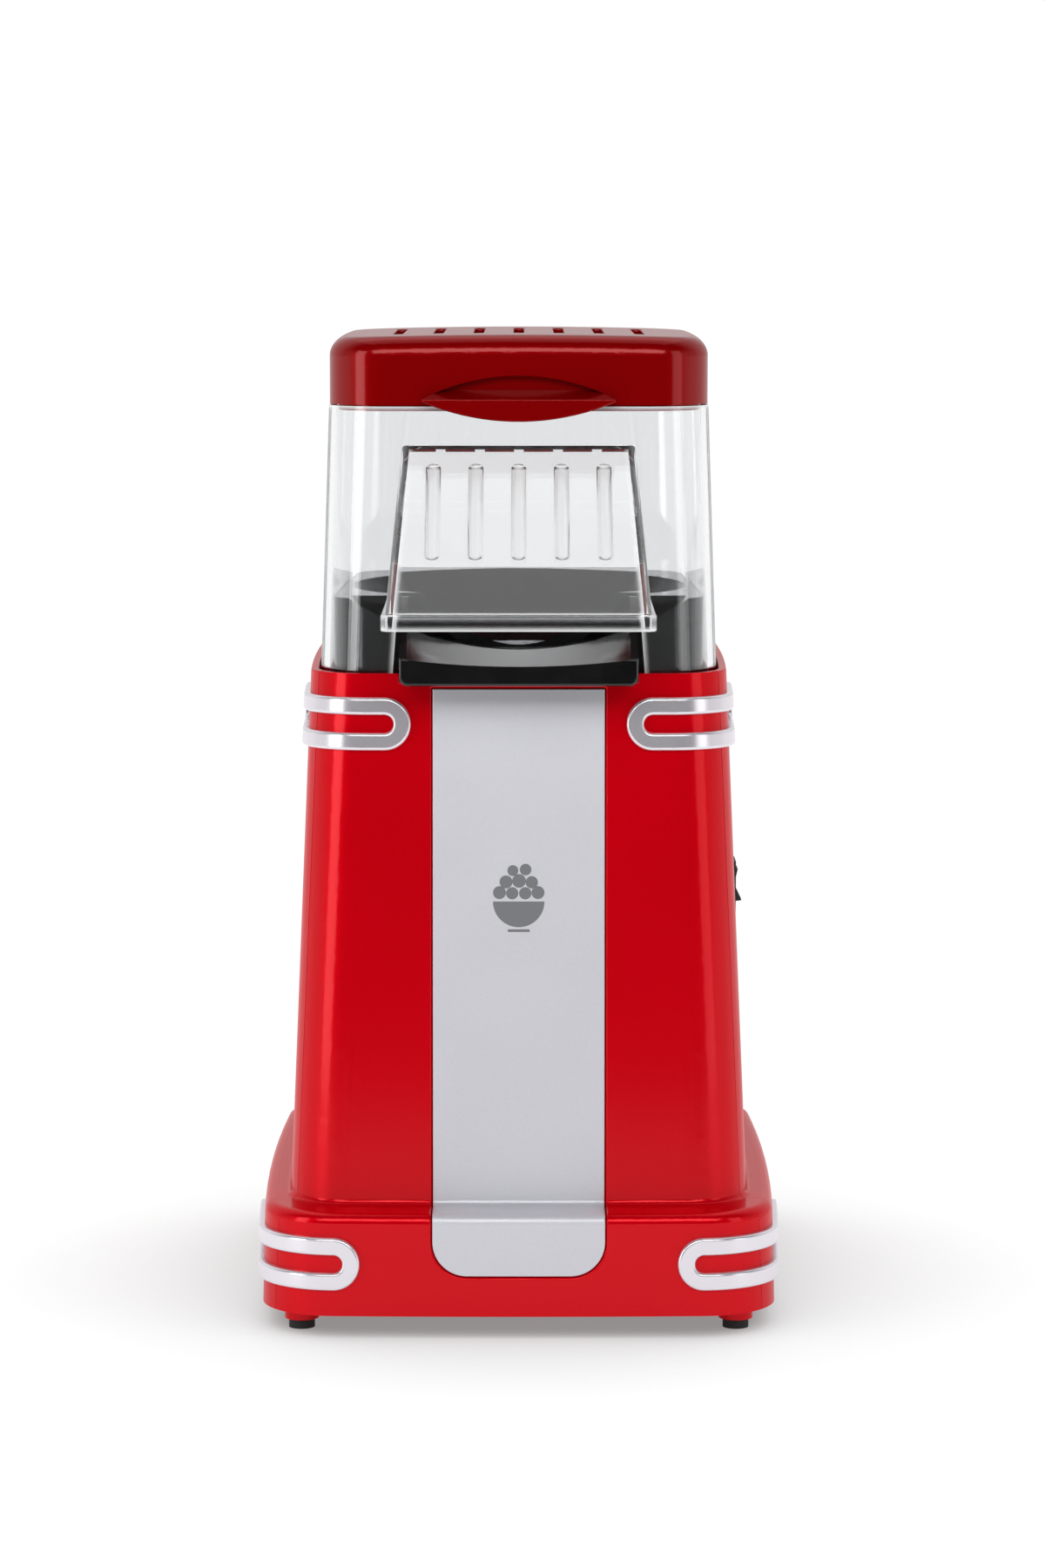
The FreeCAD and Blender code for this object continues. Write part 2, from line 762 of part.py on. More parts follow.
# Cover and lid ----------------------------------------------------------------------------------


def hood(offset, back, low):
    """Wedge of the chute hood; offset shrinks it inward, back is how far it reaches to the rear."""
    front = -HOOD_REACH - offset
    top_y = -between(COVER_HALF_Y, COVER_Z, HOOD_Z[1])
    lip_top = HOOD_Z[0] + HOOD_LIP
    slope = (HOOD_Z[1] - lip_top) / (top_y + HOOD_REACH)
    normal = math.hypot(slope, 1)
    lip_z = lip_top + offset * normal - slope * offset
    crest = HOOD_Z[1] + offset * normal
    side = [(front, low), (front, lip_z), (top_y, crest), (back, crest), (back, low)]
    wedge = prism_yz(side, -FAR, FAR)
    half = [between(HOOD_HALF_X, HOOD_Z, z) + offset for z in (low, HOOD_Z[1] + 1)]
    faces = [(-half[0], low), (half[0], low), (half[1], HOOD_Z[1] + 1), (-half[1], HOOD_Z[1] + 1)]
    return wedge.common(prism_xz(faces, -FAR, FAR))


def rounded_hood(offset, radius):
    """Hood form with round corners from its front edge up over its sloping panel."""
    form = hood(offset, 0, HOOD_Z[0])
    floor = HOOD_Z[0] + 0.5
    return eased(form, radius, lambda bounds: bounds.ZMax > floor and bounds.YMin < -COVER_HALF_Y[1] + 1)


def hood_rib(x):
    """Groove with round ends that runs down the sloping panel of the hood."""
    top_y = -between(COVER_HALF_Y, COVER_Z, HOOD_Z[1])
    lip_top = HOOD_Z[0] + HOOD_LIP
    run = Vector(0, -HOOD_REACH - top_y, lip_top - HOOD_Z[1]).normalize()
    radius = (RIB_WIDTH**2 / 4 + RIB_DEPTH**2) / (2 * RIB_DEPTH)
    above = Vector(0, run.z, -run.y) * (radius - RIB_DEPTH)
    length = RIB_LENGTH - RIB_WIDTH
    start = Vector(x, top_y, HOOD_Z[1]) + run * (RIB_START + RIB_WIDTH / 2) + above
    middle = Part.makeCylinder(radius, length, start, run)
    return fuse([middle, Part.makeSphere(radius, start), Part.makeSphere(radius, start + run * length)])


def hood_lip():
    """Thicker edge round the hood's open underside."""
    low, high = HOOD_Z[0], HOOD_Z[0] + HOOD_LIP
    half = HOOD_HALF_X[0]
    wide = half + HOOD_LIP_PROUD
    narrow = half - HOOD_WALL
    outer = box(-wide, wide, -HOOD_REACH, -COVER_HALF_Y[0], low, high)
    front = 1 - HOOD_REACH
    outer = eased(outer, HOOD_EDGE, lambda bounds: bounds.ZLength > 1 and bounds.YMax < front)
    outer = eased(outer, LIP_EDGE, lambda bounds: bounds.ZLength < 0.1 and bounds.YMin < front)
    inner = box(-narrow, narrow, -HOOD_REACH + HOOD_WALL, 0, low - 1, high + 1)
    return outer.cut(inner)


def make_cover():
    low, high = COVER_Z
    shell = cover(0, low, high).fuse(rounded_hood(0, HOOD_EDGE)).fuse(hood_lip())
    shell = shell.cut(cover(-COVER_WALL, low - 1, high + 1))
    shell = shell.cut(hood(-HOOD_WALL, 0, low - 1))
    for x in centred(RIB_COUNT, RIB_PITCH):
        shell = shell.cut(hood_rib(x))
    save("clear_cover", shell.removeSplitter())


def lid_crown(lift):
    """Big cylinder that crowns the lid's top across its width."""
    radius = (LID_HALF_X**2 + LID_CROWN**2) / (2 * LID_CROWN)
    middle = LID_Z[1] + LID_CROWN - radius
    barrel = cylinder_y(radius + lift, -FAR, FAR, 0, middle)
    return turned(barrel, 180, Vector(0, 1, 0), Vector(0, 0, middle))


def lens(low, high, y0, y1):
    """Solid between two arcs over the grip's width; each arc is (height at ends, height at middle)."""
    left = [Vector(-GRIP_HALF_X, y0, arc[0]) for arc in (low, high)]
    right = [Vector(GRIP_HALF_X, y0, arc[0]) for arc in (low, high)]
    edges = [
        Part.Arc(left[0], Vector(0, y0, low[1]), right[0]).toShape(),
        Part.Arc(right[1], Vector(0, y0, high[1]), left[1]).toShape(),
    ]
    if high[0] > low[0]:
        edges.insert(1, Part.LineSegment(right[0], right[1]).toShape())
        edges.append(Part.LineSegment(left[1], left[0]).toShape())
    return Part.Face(Part.Wire(edges)).extrude(Vector(0, y1 - y0, 0))


def make_lid():
    low, high = LID_Z
    top = high + LID_CROWN
    lid_size = (LID_HALF_X, LID_HALF_Y, LID_CORNER)
    block = upright(*lid_size, 0, low, top + 5).common(lid_crown(0))
    rim = [edge for edge in block.Edges if edge.BoundBox.ZMin > high - 1]
    block = block.makeFillet(LID_ROUND, rim)
    hollow = upright(*lid_size, -LID_WALL, low - 1, top + 5).common(lid_crown(-LID_WALL))
    ceiling_edges = [edge for edge in hollow.Edges if edge.BoundBox.ZMin > high - LID_WALL - 1]
    hollow = hollow.makeFillet(LID_ROUND - LID_WALL, ceiling_edges)
    scoop_back = GRIP_DEPTH - LID_HALF_Y
    tab_front = -LID_HALF_Y - GRIP_PROUD
    grip = (GRIP_TAB, (GRIP_SHELF[0], GRIP_TOP))
    scoop = lens(*grip, -FAR, scoop_back)
    backing = box(
        -GRIP_HALF_X - 3,
        GRIP_HALF_X + 3,
        LID_WALL / 2 - LID_HALF_Y,
        scoop_back + LID_WALL,
        low,
        GRIP_TOP + 3,
    )
    tab_back = scoop_back + LID_WALL / 2
    ramp = [(tab_front, 0), (tab_front, GRIP_SHELF[0]), (tab_back, GRIP_SHELF[1]), (tab_back, 0)]
    tab = lens(*grip, tab_front, tab_back).common(prism_yz(ramp, -FAR, FAR))
    tab = eased(tab, GRIP_EDGE, lambda bounds: bounds.YMax < tab_front + 0.1)
    clearance = cover(PLAY + 0.1, GRIP_TAB[1] - 5, low)
    spigot_low = COVER_Z[1] - SPIGOT_DEPTH
    out = -COVER_WALL - SPIGOT_PLAY
    cover_top = (COVER_HALF_X[1], COVER_HALF_Y[1], COVER_CORNER)
    spigot = upright(*cover_top, out, spigot_low, low + LID_WALL)
    rest = upright(*lid_size, -LID_WALL / 2, low, low + LID_WALL)
    web = rest.fuse(spigot).cut(upright(*cover_top, out - SPIGOT_WALL, spigot_low - 1, top))
    body = fuse([block.cut(hollow), backing.common(block), web])
    body = body.cut(scoop).fuse(tab.cut(clearance))
    for x in centred(VENT_COUNT, VENT_PITCH):
        slot = rounded_slot(VENT_LENGTH, VENT_WIDTH, GRIP_TOP + 2, top + 5)
        slot.translate(Vector(x, 0, 0))
        body = body.cut(slot)
    body = body.removeSplitter()
    vent_y = VENT_LENGTH / 2 + 0.5

    def on_vent(bounds):
        inside = bounds.XLength < VENT_WIDTH + 1 and max(-bounds.YMin, bounds.YMax) < vent_y
        return inside and bounds.ZMin > high + LID_CROWN / 4

    save("lid", eased(body, VENT_EDGE, on_vent))


# Funnel and tray --------------------------------------------------------------------------------


def funnel_halves():
    """Half sizes of the funnel's upright wall, clear of the tapering cover at the funnel's top."""
    inside = COVER_WALL + FUNNEL_PLAY
    half_x = between(COVER_HALF_X, COVER_Z, FUNNEL_TOP) - inside
    half_y = between(COVER_HALF_Y, COVER_Z, FUNNEL_TOP) - inside
    return half_x, half_y


def chute_cutter():
    """Space above the chute's floor: a round channel that flattens towards the tray's lip."""

    def section(y, floor, arc):
        half = TRAY_HALF_X - TRAY_WALL
        rise = arc - math.sqrt(arc**2 - half**2)
        left = Vector(-half, y, floor + rise)
        right = Vector(half, y, floor + rise)
        top_right = Vector(half, y, FUNNEL_TOP + 30)
        top_left = Vector(-half, y, FUNNEL_TOP + 30)
        edges = [
            Part.Arc(left, Vector(0, y, floor), right).toShape(),
            Part.LineSegment(right, top_right).toShape(),
            Part.LineSegment(top_right, top_left).toShape(),
            Part.LineSegment(top_left, left).toShape(),
        ]
        return Part.Wire(edges)

    lip = section(-TRAY_REACH - 1, TRAY_Z[1], LIP_ARC)
    back = section(-CHUTE_BACK + FUNNEL_WALL, CHUTE_FLOOR, CHUTE_ARC)
    return Part.makeLoft([lip, back], True, True)


def make_funnel():
    half_x, half_y = funnel_halves()
    seat = COVER_Z[0]
    mouth_z = SHIELD_TOP + CHAMBER_WALL + 0.1
    flange_z = seat - FUNNEL_LEDGE
    size = (half_x, half_y, FUNNEL_CORNER)
    block = upright(*size, 0, flange_z, FUNNEL_TOP)
    inner = upright(*size, -FUNNEL_WALL, flange_z - 1, FUNNEL_TOP - FUNNEL_WALL)
    mouth_r = CHAMBER_TOP_R + 0.6
    steep = (DISH_TOP_R - mouth_r) / (FUNNEL_TOP - mouth_z)
    wall = FUNNEL_WALL * math.hypot(1, steep)
    dish = revolve([
        (0, mouth_z - 1),
        (mouth_r - steep, mouth_z - 1),
        (DISH_TOP_R + steep, FUNNEL_TOP + 1),
        (0, FUNNEL_TOP + 1),
    ])
    cone = revolve([
        (0, mouth_z),
        (mouth_r + wall, mouth_z),
        (DISH_TOP_R + wall, FUNNEL_TOP),
        (0, FUNNEL_TOP),
    ])
    flange = tower(-WALL - 0.5, flange_z, seat)
    flange = flange.cut(cylinder(mouth_r + wall + 4, flange_z - 1, seat + 1))
    body = block.cut(inner).fuse(flange.cut(inner)).fuse(cone.common(block))
    profile = [
        (-TRAY_REACH, TRAY_Z[0]),
        (-TRAY_REACH, TRAY_Z[1] + TRAY_LIP_RISE),
        (-CHUTE_BACK - 1.5, FUNNEL_TOP),
        (-half_y + 12, FUNNEL_TOP),
        (-half_y + 12, TRAY_Z[0]),
    ]
    tray_block = prism_yz(profile, -TRAY_HALF_X, TRAY_HALF_X)
    corners = [
        edge for edge in tray_block.Edges
        if edge.BoundBox.ZMax < TRAY_Z[0] + 0.01 and edge.BoundBox.YLength > 10
    ]
    tray_block = tray_block.makeFillet(TRAY_EDGE, corners)
    tray_block = eased(tray_block, TRAY_FRONT_EDGE, lambda bounds: bounds.YMax < 0.1 - TRAY_REACH)
    under = box(
        -TRAY_HALF_X + TRAY_WALL,
        TRAY_HALF_X - TRAY_WALL,
        -TRAY_REACH + TRAY_WALL,
        0,
        0,
        TRAY_Z[1] - TRAY_WALL,
    )
    bowl = cylinder_y(CHUTE_ARC, -CHUTE_BACK, 0, 0, CHUTE_FLOOR + CHUTE_ARC)
    body = body.fuse(tray_block.cut(under)).cut(dish)
    body = body.cut(chute_cutter())
    front_zone = box(-FAR, FAR, -CHUTE_BACK - 1, -CHUTE_BACK + 14, 0, FAR)
    body = body.cut(bowl.common(front_zone))
    save("chute_funnel", body.removeSplitter())


# Chamber, shield and heater ---------------------------------------------------------------------


def make_chamber():
    wall = CHAMBER_WALL
    floor = CHAMBER_FLOOR
    rim = SHIELD_TOP
    profile = [
        (0, floor + CHAMBER_CONE),
        (CHAMBER_FLOOR_R - CHAMBER_SHOULDER, floor),
        (CHAMBER_FLOOR_R + wall, floor),
        (CHAMBER_TOP_R + wall, rim),
        (CHAMBER_FLANGE_R, rim),
        (CHAMBER_FLANGE_R, rim + wall),
        (CHAMBER_TOP_R, rim + wall),
        (CHAMBER_FLOOR_R, floor + wall),
        (CHAMBER_FLOOR_R - CHAMBER_SHOULDER, floor + wall),
        (0, floor + wall + CHAMBER_CONE),
    ]
    cup = revolve(profile)
    low, high = LOUVRE_Z
    for index in range(LOUVRE_COUNT):
        half = LOUVRE_WIDTH / 2
        slot = box(CHAMBER_FLOOR_R - 3, CHAMBER_TOP_R + 3, -half, half, low, high)
        slot = turned(slot, LOUVRE_LEAN, Vector(1, 0, 0), Vector(0, 0, (low + high) / 2))
        cup = cup.cut(turned(slot, index * 360 / LOUVRE_COUNT))
    save("popping_chamber", cup)


def shield_screw_places():
    r = SHIELD_SCREW_R
    return [(r, 0), (-r, 0), (0, r), (0, -r)]


def make_shield():
    foot = FAN_TOP + SHEET
    shield = fuse([
        ring(SHIELD_R + SHIELD_WALL, SHIELD_R, foot, SHIELD_TOP),
        ring(FAN_FLANGE_R, SHIELD_R, foot, foot + SHEET),
    ])
    for x, y in shield_screw_places():
        shield = shield.cut(cylinder(SCREW_R + 0.2, foot - 1, foot + SHEET + 1, x, y))
    save("heat_shield", shield)
    seat = foot + SHEET
    tip = FAN_TOP - SHIELD_SCREW
    save("shield_screws", group([screw(x, y, seat, tip) for x, y in shield_screw_places()]))


def make_heater():
    foot = FAN_TOP
    bracket = ring(FAN_FLANGE_R, SHIELD_R - 2, foot, foot + SHEET)
    half = ARM_WIDTH / 2
    arms = [
        box(-SHIELD_R, SHIELD_R, -half, half, foot, foot + SHEET),
        box(-half, half, -SHIELD_R, SHIELD_R, foot, foot + SHEET),
    ]
    bracket = fuse([bracket] + arms)
    for x, y in shield_screw_places():
        bracket = bracket.cut(cylinder(SCREW_R + 0.2, foot - 1, foot + SHEET + 1, x, y))
    save("heater_bracket", bracket)
    floor = foot + SHEET
    thick = BOARD_THICK / 2
    middle = floor + BOARD_HEIGHT / 2
    lap = thick + 0.05
    long_board = box(-BOARD_HALF, BOARD_HALF, -thick, thick, floor, floor + BOARD_HEIGHT)
    long_board = long_board.cut(box(-lap, lap, -5, 5, middle, FAR))
    cross_board = box(-thick, thick, -BOARD_HALF, BOARD_HALF, floor, floor + BOARD_HEIGHT)
    cross_board = cross_board.cut(box(-5, 5, -lap, lap, 0, middle))
    coil_z = Vector(0, 0, floor + COIL_ABOVE)
    for radius in COIL_TURNS:
        passage = Part.makeTorus(radius, COIL_R + 0.2, coil_z)
        long_board = long_board.cut(passage)
        cross_board = cross_board.cut(passage)
    save("heater_board_long", long_board)
    save("heater_board_cross", cross_board)
    save("heater_coil", group([Part.makeTorus(radius, COIL_R, coil_z) for radius in COIL_TURNS]))


# Fan ----------------------------------------------------------------------------------------------


def make_fan_housing():
    floor_top = FAN_FLOOR + FAN_FLOOR_THICK
    outer = SHIELD_R + FAN_WALL
    wall = ring(outer, SHIELD_R, FAN_FLOOR, FAN_TOP)
    flange = ring(FAN_FLANGE_R, SHIELD_R, FAN_TOP - FAN_FLANGE, FAN_TOP)
    floor = ring(outer, FAN_INTAKE_R[1], FAN_FLOOR, floor_top)
    centre = cylinder(FAN_INTAKE_R[0], FAN_FLOOR, floor_top)
    half = FAN_ARM / 2
    arm = box(0, outer - 1, -half, half, FAN_FLOOR, floor_top)
    arms = [turned(arm, angle) for angle in (90, 210, 330)]
    bosses = [cylinder(HEAD_R + 1, FAN_TOP - 10, FAN_TOP - 1, x, y) for x, y in shield_screw_places()]
    places = four(PILLAR_XY, PILLAR_XY)
    seat = FAN_FLOOR + LUG_THICK
    lug = box(SHIELD_R + 1, PILLAR_XY * math.sqrt(2), -PILLAR_R, PILLAR_R, FAN_FLOOR, seat)
    lugs = [turned(lug, angle) for angle in (45, 135, 225, 315)]
    ends = [cylinder(PILLAR_R, FAN_FLOOR, seat, x, y) for x, y in places]
    housing = fuse([wall, flange, floor, centre] + arms + bosses + lugs + ends)
    cutters = [cylinder(BUSH_R + 1.6, FAN_FLOOR - 1, floor_top + 1)]
    for x, y in shield_screw_places():
        bore_low = FAN_TOP - SHIELD_SCREW - 1
        cutters.append(cylinder(SCREW_R + BORE_PLAY, bore_low, FAN_TOP + 1, x, y))
    cutters += [cylinder(SCREW_R + 0.3, FAN_FLOOR - 1, seat + 1, x, y) for x, y in places]
    cutters += [cylinder(SCREW_R + 0.2, FAN_FLOOR - 1, floor_top + 1, x, 0) for x in MOTOR_SCREW_X]
    for cutter in cutters:
        housing = housing.cut(cutter)
    save("fan_housing", housing)
    save("fan_housing_screws", group([screw(x, y, seat, seat - FAN_SCREW) for x, y in places]))


def make_impeller():
    low, high = HUB_Z
    hub = cylinder(HUB_R, low, high)
    middle = (low + high) / 2
    half = (high - low) / 2 * 0.92
    thick = BLADE_THICK / 2
    chord = BLADE_CHORD / 2
    blades = []
    for index in range(BLADE_COUNT):
        blade = box(HUB_R - 2, BLADE_R, -thick, thick, middle - chord, middle + chord)
        blade = turned(blade, BLADE_PITCH, Vector(1, 0, 0), Vector(0, 0, middle))
        blade = blade.common(cylinder(BLADE_R, middle - half, middle + half))
        blades.append(turned(blade, index * 360 / BLADE_COUNT))
    impeller = fuse([hub] + blades).cut(cylinder(SHAFT_R, low - 1, high + 1))
    save("fan_impeller", impeller)
    turns = [math.radians(60 * index) for index in range(6)]
    corners = [Vector(NUT_R * math.cos(turn), NUT_R * math.sin(turn), high) for turn in turns]
    nut = Part.Face(Part.makePolygon(corners + corners[:1])).extrude(Vector(0, 0, NUT_HEIGHT))
    save("fan_nut", nut.cut(cylinder(SHAFT_R, high - 1, high + NUT_HEIGHT + 1)))


# Motor --------------------------------------------------------------------------------------------


def bush(z0):
    return ring(BUSH_R, SHAFT_R + RUNNING, z0, z0 + BUSH_LENGTH)


def sided(side, near, far, *rest):
    """Box that runs from near to far along X on one side of the axis."""
    return box(*sorted((side * near, side * far)), *rest)


def make_motor():
    top = FAN_FLOOR
    low = top - MOTOR_LENGTH
    can = ring(MOTOR_R, MOTOR_R - MOTOR_CAN_WALL, low, top - 1)
    end = cylinder(MOTOR_R, top - CAN_END, top)
    collar = cylinder(BUSH_R + CAN_END, top - 4, top + 1)
    can = fuse([can, end, collar]).cut(cylinder(BUSH_R, 0, FAR))
    for x in MOTOR_SCREW_X:
        can = can.cut(cylinder(SCREW_R + BORE_PLAY, top - 5, top + 1, x, 0))
    save("motor_can", can)
    cap_low = low - CAP_DEPTH
    seat = cap_low + BRUSH_RISE
    brush_end = COMMUTATOR_R + BRUSH_FROM + BRUSH_LENGTH
    cap = fuse([
        ring(CAP_R, CAP_R - CAP_WALL, cap_low, low),
        cylinder(CAP_R, cap_low, cap_low + CAP_WALL),
        cylinder(BUSH_R + CAP_WALL, cap_low, cap_low + 5),
    ])
    cap = cap.cut(cylinder(BUSH_R, 0, FAR))
    holder = (-2 * BRUSH_HALF, 2 * BRUSH_HALF, cap_low + 1, seat + BRUSH_HEIGHT + 2)
    cap = fuse([cap] + [sided(side, COMMUTATOR_R + 4.2, CAP_R - 2, *holder) for side in (-1, 1)])
    half = BRUSH_HALF + TAB_PLAY
    bore = (-half, half, seat - TAB_PLAY, seat + BRUSH_HEIGHT + TAB_PLAY)
    tab_half = TAB_HALF + TAB_PLAY
    tab_slot = (TAB_X[0] - TAB_PLAY, TAB_X[1] + TAB_PLAY, -tab_half, tab_half)
    for side in (-1, 1):
        cap = cap.cut(sided(side, 2, brush_end + 0.2, *bore))
        cap = cap.cut(sided(side, *tab_slot, 0, cap_low + 4.5))
    save("motor_end_cap", cap)
    save("motor_bushes", group([bush(cap_low), bush(top - 4)]))
    magnets = ring(MAGNET_R[1], MAGNET_R[0], low + 3, top - 5.5)
    save("motor_magnets", magnets.cut(box(-4, 4, -FAR, FAR, 0, FAR)))
    armature = cylinder(ARMATURE_R, *ARMATURE_Z)
    for index in range(SLOT_COUNT):
        slot = box(4.5, ARMATURE_R + 1, -0.9, 0.9, ARMATURE_Z[0] - 1, ARMATURE_Z[1] + 1)
        armature = armature.cut(turned(slot, index * 360 / SLOT_COUNT))
    save("motor_armature", armature.cut(cylinder(SHAFT_R, 0, FAR)))
    save("motor_commutator", ring(COMMUTATOR_R, SHAFT_R, *COMMUTATOR_Z))
    brush = (-BRUSH_HALF, BRUSH_HALF, seat, seat + BRUSH_HEIGHT)
    brush_start = COMMUTATOR_R + BRUSH_FROM
    save("motor_brushes", group([sided(side, brush_start, brush_end, *brush) for side in (-1, 1)]))
    save("motor_shaft", cylinder(SHAFT_R, *SHAFT_Z))
    head_low = top + FAN_FLOOR_THICK
    head_r, head_height = MOTOR_HEAD
    screws = []
    for x in MOTOR_SCREW_X:
        head = cylinder(head_r, head_low, head_low + head_height, x, 0)
        screws.append(fuse([head, cylinder(SCREW_R, top - CAN_END + 0.1, head_low, x, 0)]))
    save("motor_screws", group(screws))
    tab = (-TAB_HALF, TAB_HALF, BOARD_Z[0] - 0.8, cap_low + 4.4)
    save("motor_terminals", group([sided(side, *TAB_X, *tab) for side in (-1, 1)]))
    board = ring(MOTOR_R - 1, BUSH_R + 2, *BOARD_Z)
    for side in (-1, 1):
        board = board.cut(sided(side, *tab_slot, 0, FAR))
    save("rectifier_board", board)
    diode = cylinder_y(DIODE_R, -DIODE_HALF, DIODE_HALF, 9, BOARD_Z[1] + DIODE_R)
    save("rectifier_diodes", group([turned(diode, angle) for angle in (45, 135, 225, 315)]))


# Safety parts on the heat shield ------------------------------------------------------------------


def make_safety():
    back = SHIELD_R + SHIELD_WALL + 0.05
    front = back + BRACKET_THICK
    half = BRACKET_HALF_X
    save("thermostat_bracket", box(-half, half, back, front, *BRACKET_Z))
    top = front + THERMOSTAT_HEIGHT
    cap_top = top + THERMOSTAT_CAP
    body = cylinder_y(THERMOSTAT_R, front, top, 0, THERMOSTAT_Z)
    cap = cylinder_y(THERMOSTAT_CAP_R, top, cap_top, 0, THERMOSTAT_Z)
    save("thermostat", fuse([body, cap]))
    tabs = [
        box(x - 1.6, x + 1.6, cap_top, cap_top + 5, THERMOSTAT_Z - 0.4, THERMOSTAT_Z + 0.4)
        for x in (-3, 3)
    ]
    save("thermostat_terminals", group(tabs))
    middle = front + FUSE_R + 0.1
    save("thermal_fuse", cylinder_x(FUSE_R, -FUSE_HALF, FUSE_HALF, middle, FUSE_Z))
    clip = box(-2.5, 2.5, front, front + 5, FUSE_Z - FUSE_R - 1, FUSE_Z + FUSE_R + 1)
    bore = cylinder_x(FUSE_R + BORE_PLAY, -FUSE_HALF, FUSE_HALF, middle, FUSE_Z)
    save("fuse_clip", clip.cut(bore))


# Switch -------------------------------------------------------------------------------------------


def make_switch():
    seat = SWITCH_SEAT
    face = seat + BEZEL
    deep = seat - SWITCH_DEPTH
    low, high = SWITCH_Z - SWITCH_HALF_Z, SWITCH_Z + SWITCH_HALF_Z
    body = box(deep, face, -SWITCH_HALF_Y, SWITCH_HALF_Y, low, high)
    lip_y = SWITCH_HALF_Y + BEZEL_LIP
    body = body.fuse(box(seat, face, -lip_y, lip_y, low - BEZEL_LIP, high + BEZEL_LIP))
    inner_y = SWITCH_HALF_Y - SWITCH_WALL
    inner_z = SWITCH_HALF_Z - SWITCH_WALL
    body = body.cut(box(deep + 3, FAR, -inner_y, inner_y, SWITCH_Z - inner_z, SWITCH_Z + inner_z))
    pivot_x = face - PIVOT_BELOW_FACE
    pin_end = SWITCH_HALF_Y - 0.1
    body = body.cut(cylinder_y(PIVOT_R + RUNNING, -SWITCH_HALF_Y, SWITCH_HALF_Y, pivot_x, SWITCH_Z))
    save("switch_body", body)
    half_y = inner_y - ROCKER_PLAY
    crest = ROCKER_R * 0.9
    profile = [
        (pivot_x - 4, SWITCH_Z - crest),
        (pivot_x - 4, SWITCH_Z + crest),
        (pivot_x + ROCKER_CREST, SWITCH_Z + crest),
        (pivot_x + ROCKER_VALLEY, SWITCH_Z),
        (pivot_x + ROCKER_CREST, SWITCH_Z - crest),
    ]
    rocker = prism_xz(profile, -half_y, half_y)
    rocker = rocker.common(cylinder_y(ROCKER_R, -half_y, half_y, pivot_x, SWITCH_Z))
    rocker = rocker.fuse(cylinder_y(PIVOT_R, -pin_end, pin_end, pivot_x, SWITCH_Z))
    pivot = Vector(pivot_x, 0, SWITCH_Z)
    save("switch_rocker", turned(rocker, -ROCKER_TILT, Vector(0, 1, 0), pivot))
    tabs = [box(deep - 5, deep, -2.4, 2.4, SWITCH_Z + z - 0.4, SWITCH_Z + z + 0.4) for z in (-4, 4)]
    save("switch_terminals", group(tabs))


# Cord inlet, terminal block and wires -------------------------------------------------------------


def make_inlet():
    outer = GLAND_SEAT + GLAND_FLANGE
    inner = GLAND_SEAT - 6
    gland = fuse([
        cylinder_y(GLAND_FLANGE_R, GLAND_SEAT, outer, 0, GLAND_Z),
        cylinder_y(GLAND_R, inner, outer + GLAND_SNOUT, 0, GLAND_Z),
    ])
    bore = cylinder_y(GLAND_BORE, 0, FAR, 0, GLAND_Z)
    save("cord_gland", gland.cut(bore))
    nut_face = tower_half_y(GLAND_Z + GLAND_FLANGE_R) - WALL - 0.05
    nut = cylinder_y(GLAND_FLANGE_R, nut_face - 3, nut_face, 0, GLAND_Z)
    save("gland_nut", nut.cut(cylinder_y(GLAND_R + 0.05, 0, FAR, 0, GLAND_Z)))


def make_terminal_block():
    floor = BASE_FLOOR + PLATE_THICK
    top = floor + BLOCK_HEIGHT
    block = box(-BLOCK_HALF_X, BLOCK_HALF_X, *BLOCK_Y, floor, top)
    middle = sum(BLOCK_Y) / 2
    places = centred(3, BLOCK_PITCH)
    screw_low = floor + 5
    for x in places:
        block = block.cut(cylinder(BLOCK_SCREW_R + 0.1, screw_low, top + 1, x, middle))
    save("terminal_block", block)
    screws = [cylinder(BLOCK_SCREW_R, screw_low, screw_low + 4, x, middle) for x in places]
    save("terminal_screws", group(screws))


def make_wires():
    low = BASE_FLOOR + PLATE_THICK + 3
    block_end = BLOCK_HALF_X + 0.3
    block_y = sum(BLOCK_Y) / 2
    switch_z = SWITCH_Z - 4
    terminal_x = SWITCH_SEAT - SWITCH_DEPTH - 2.5
    board_z = BOARD_Z[0] - WIRE_R - 1.3
    routes = {
        "switch_wire": [
            (block_end, block_y, low),
            (34, 64, low),
            (34, 64, switch_z),
            (terminal_x, 26, switch_z),
            (terminal_x, 2.4, switch_z),
        ],
        "thermostat_wire": [
            (-block_end, block_y, low),
            (-32, 64, low),
            (-32, 64, 139),
            (-3, 66, THERMOSTAT_Z),
            (-3, 60.1, THERMOSTAT_Z),
        ],
        "motor_wire": [
            (0, BLOCK_Y[0], low),
            (0, 40, low),
            (0, 13, board_z),
            (0, 8, board_z),
        ],
    }
    for node, points in routes.items():
        save(node, tube([Vector(*point) for point in points], WIRE_R, WIRE_BEND))


os.makedirs("parts", exist_ok=True)
make_housings()
make_trims()
make_base_plate()
make_base_screws()
make_feet()
make_cover()
make_lid()
make_funnel()
make_chamber()
make_shield()
make_heater()
make_fan_housing()
make_impeller()
make_motor()
make_safety()
make_switch()
make_inlet()
make_terminal_block()
make_wires()
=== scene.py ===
import json
import math

import bmesh
import bpy
from mathutils import Matrix, Vector
from mathutils.bvhtree import BVHTree


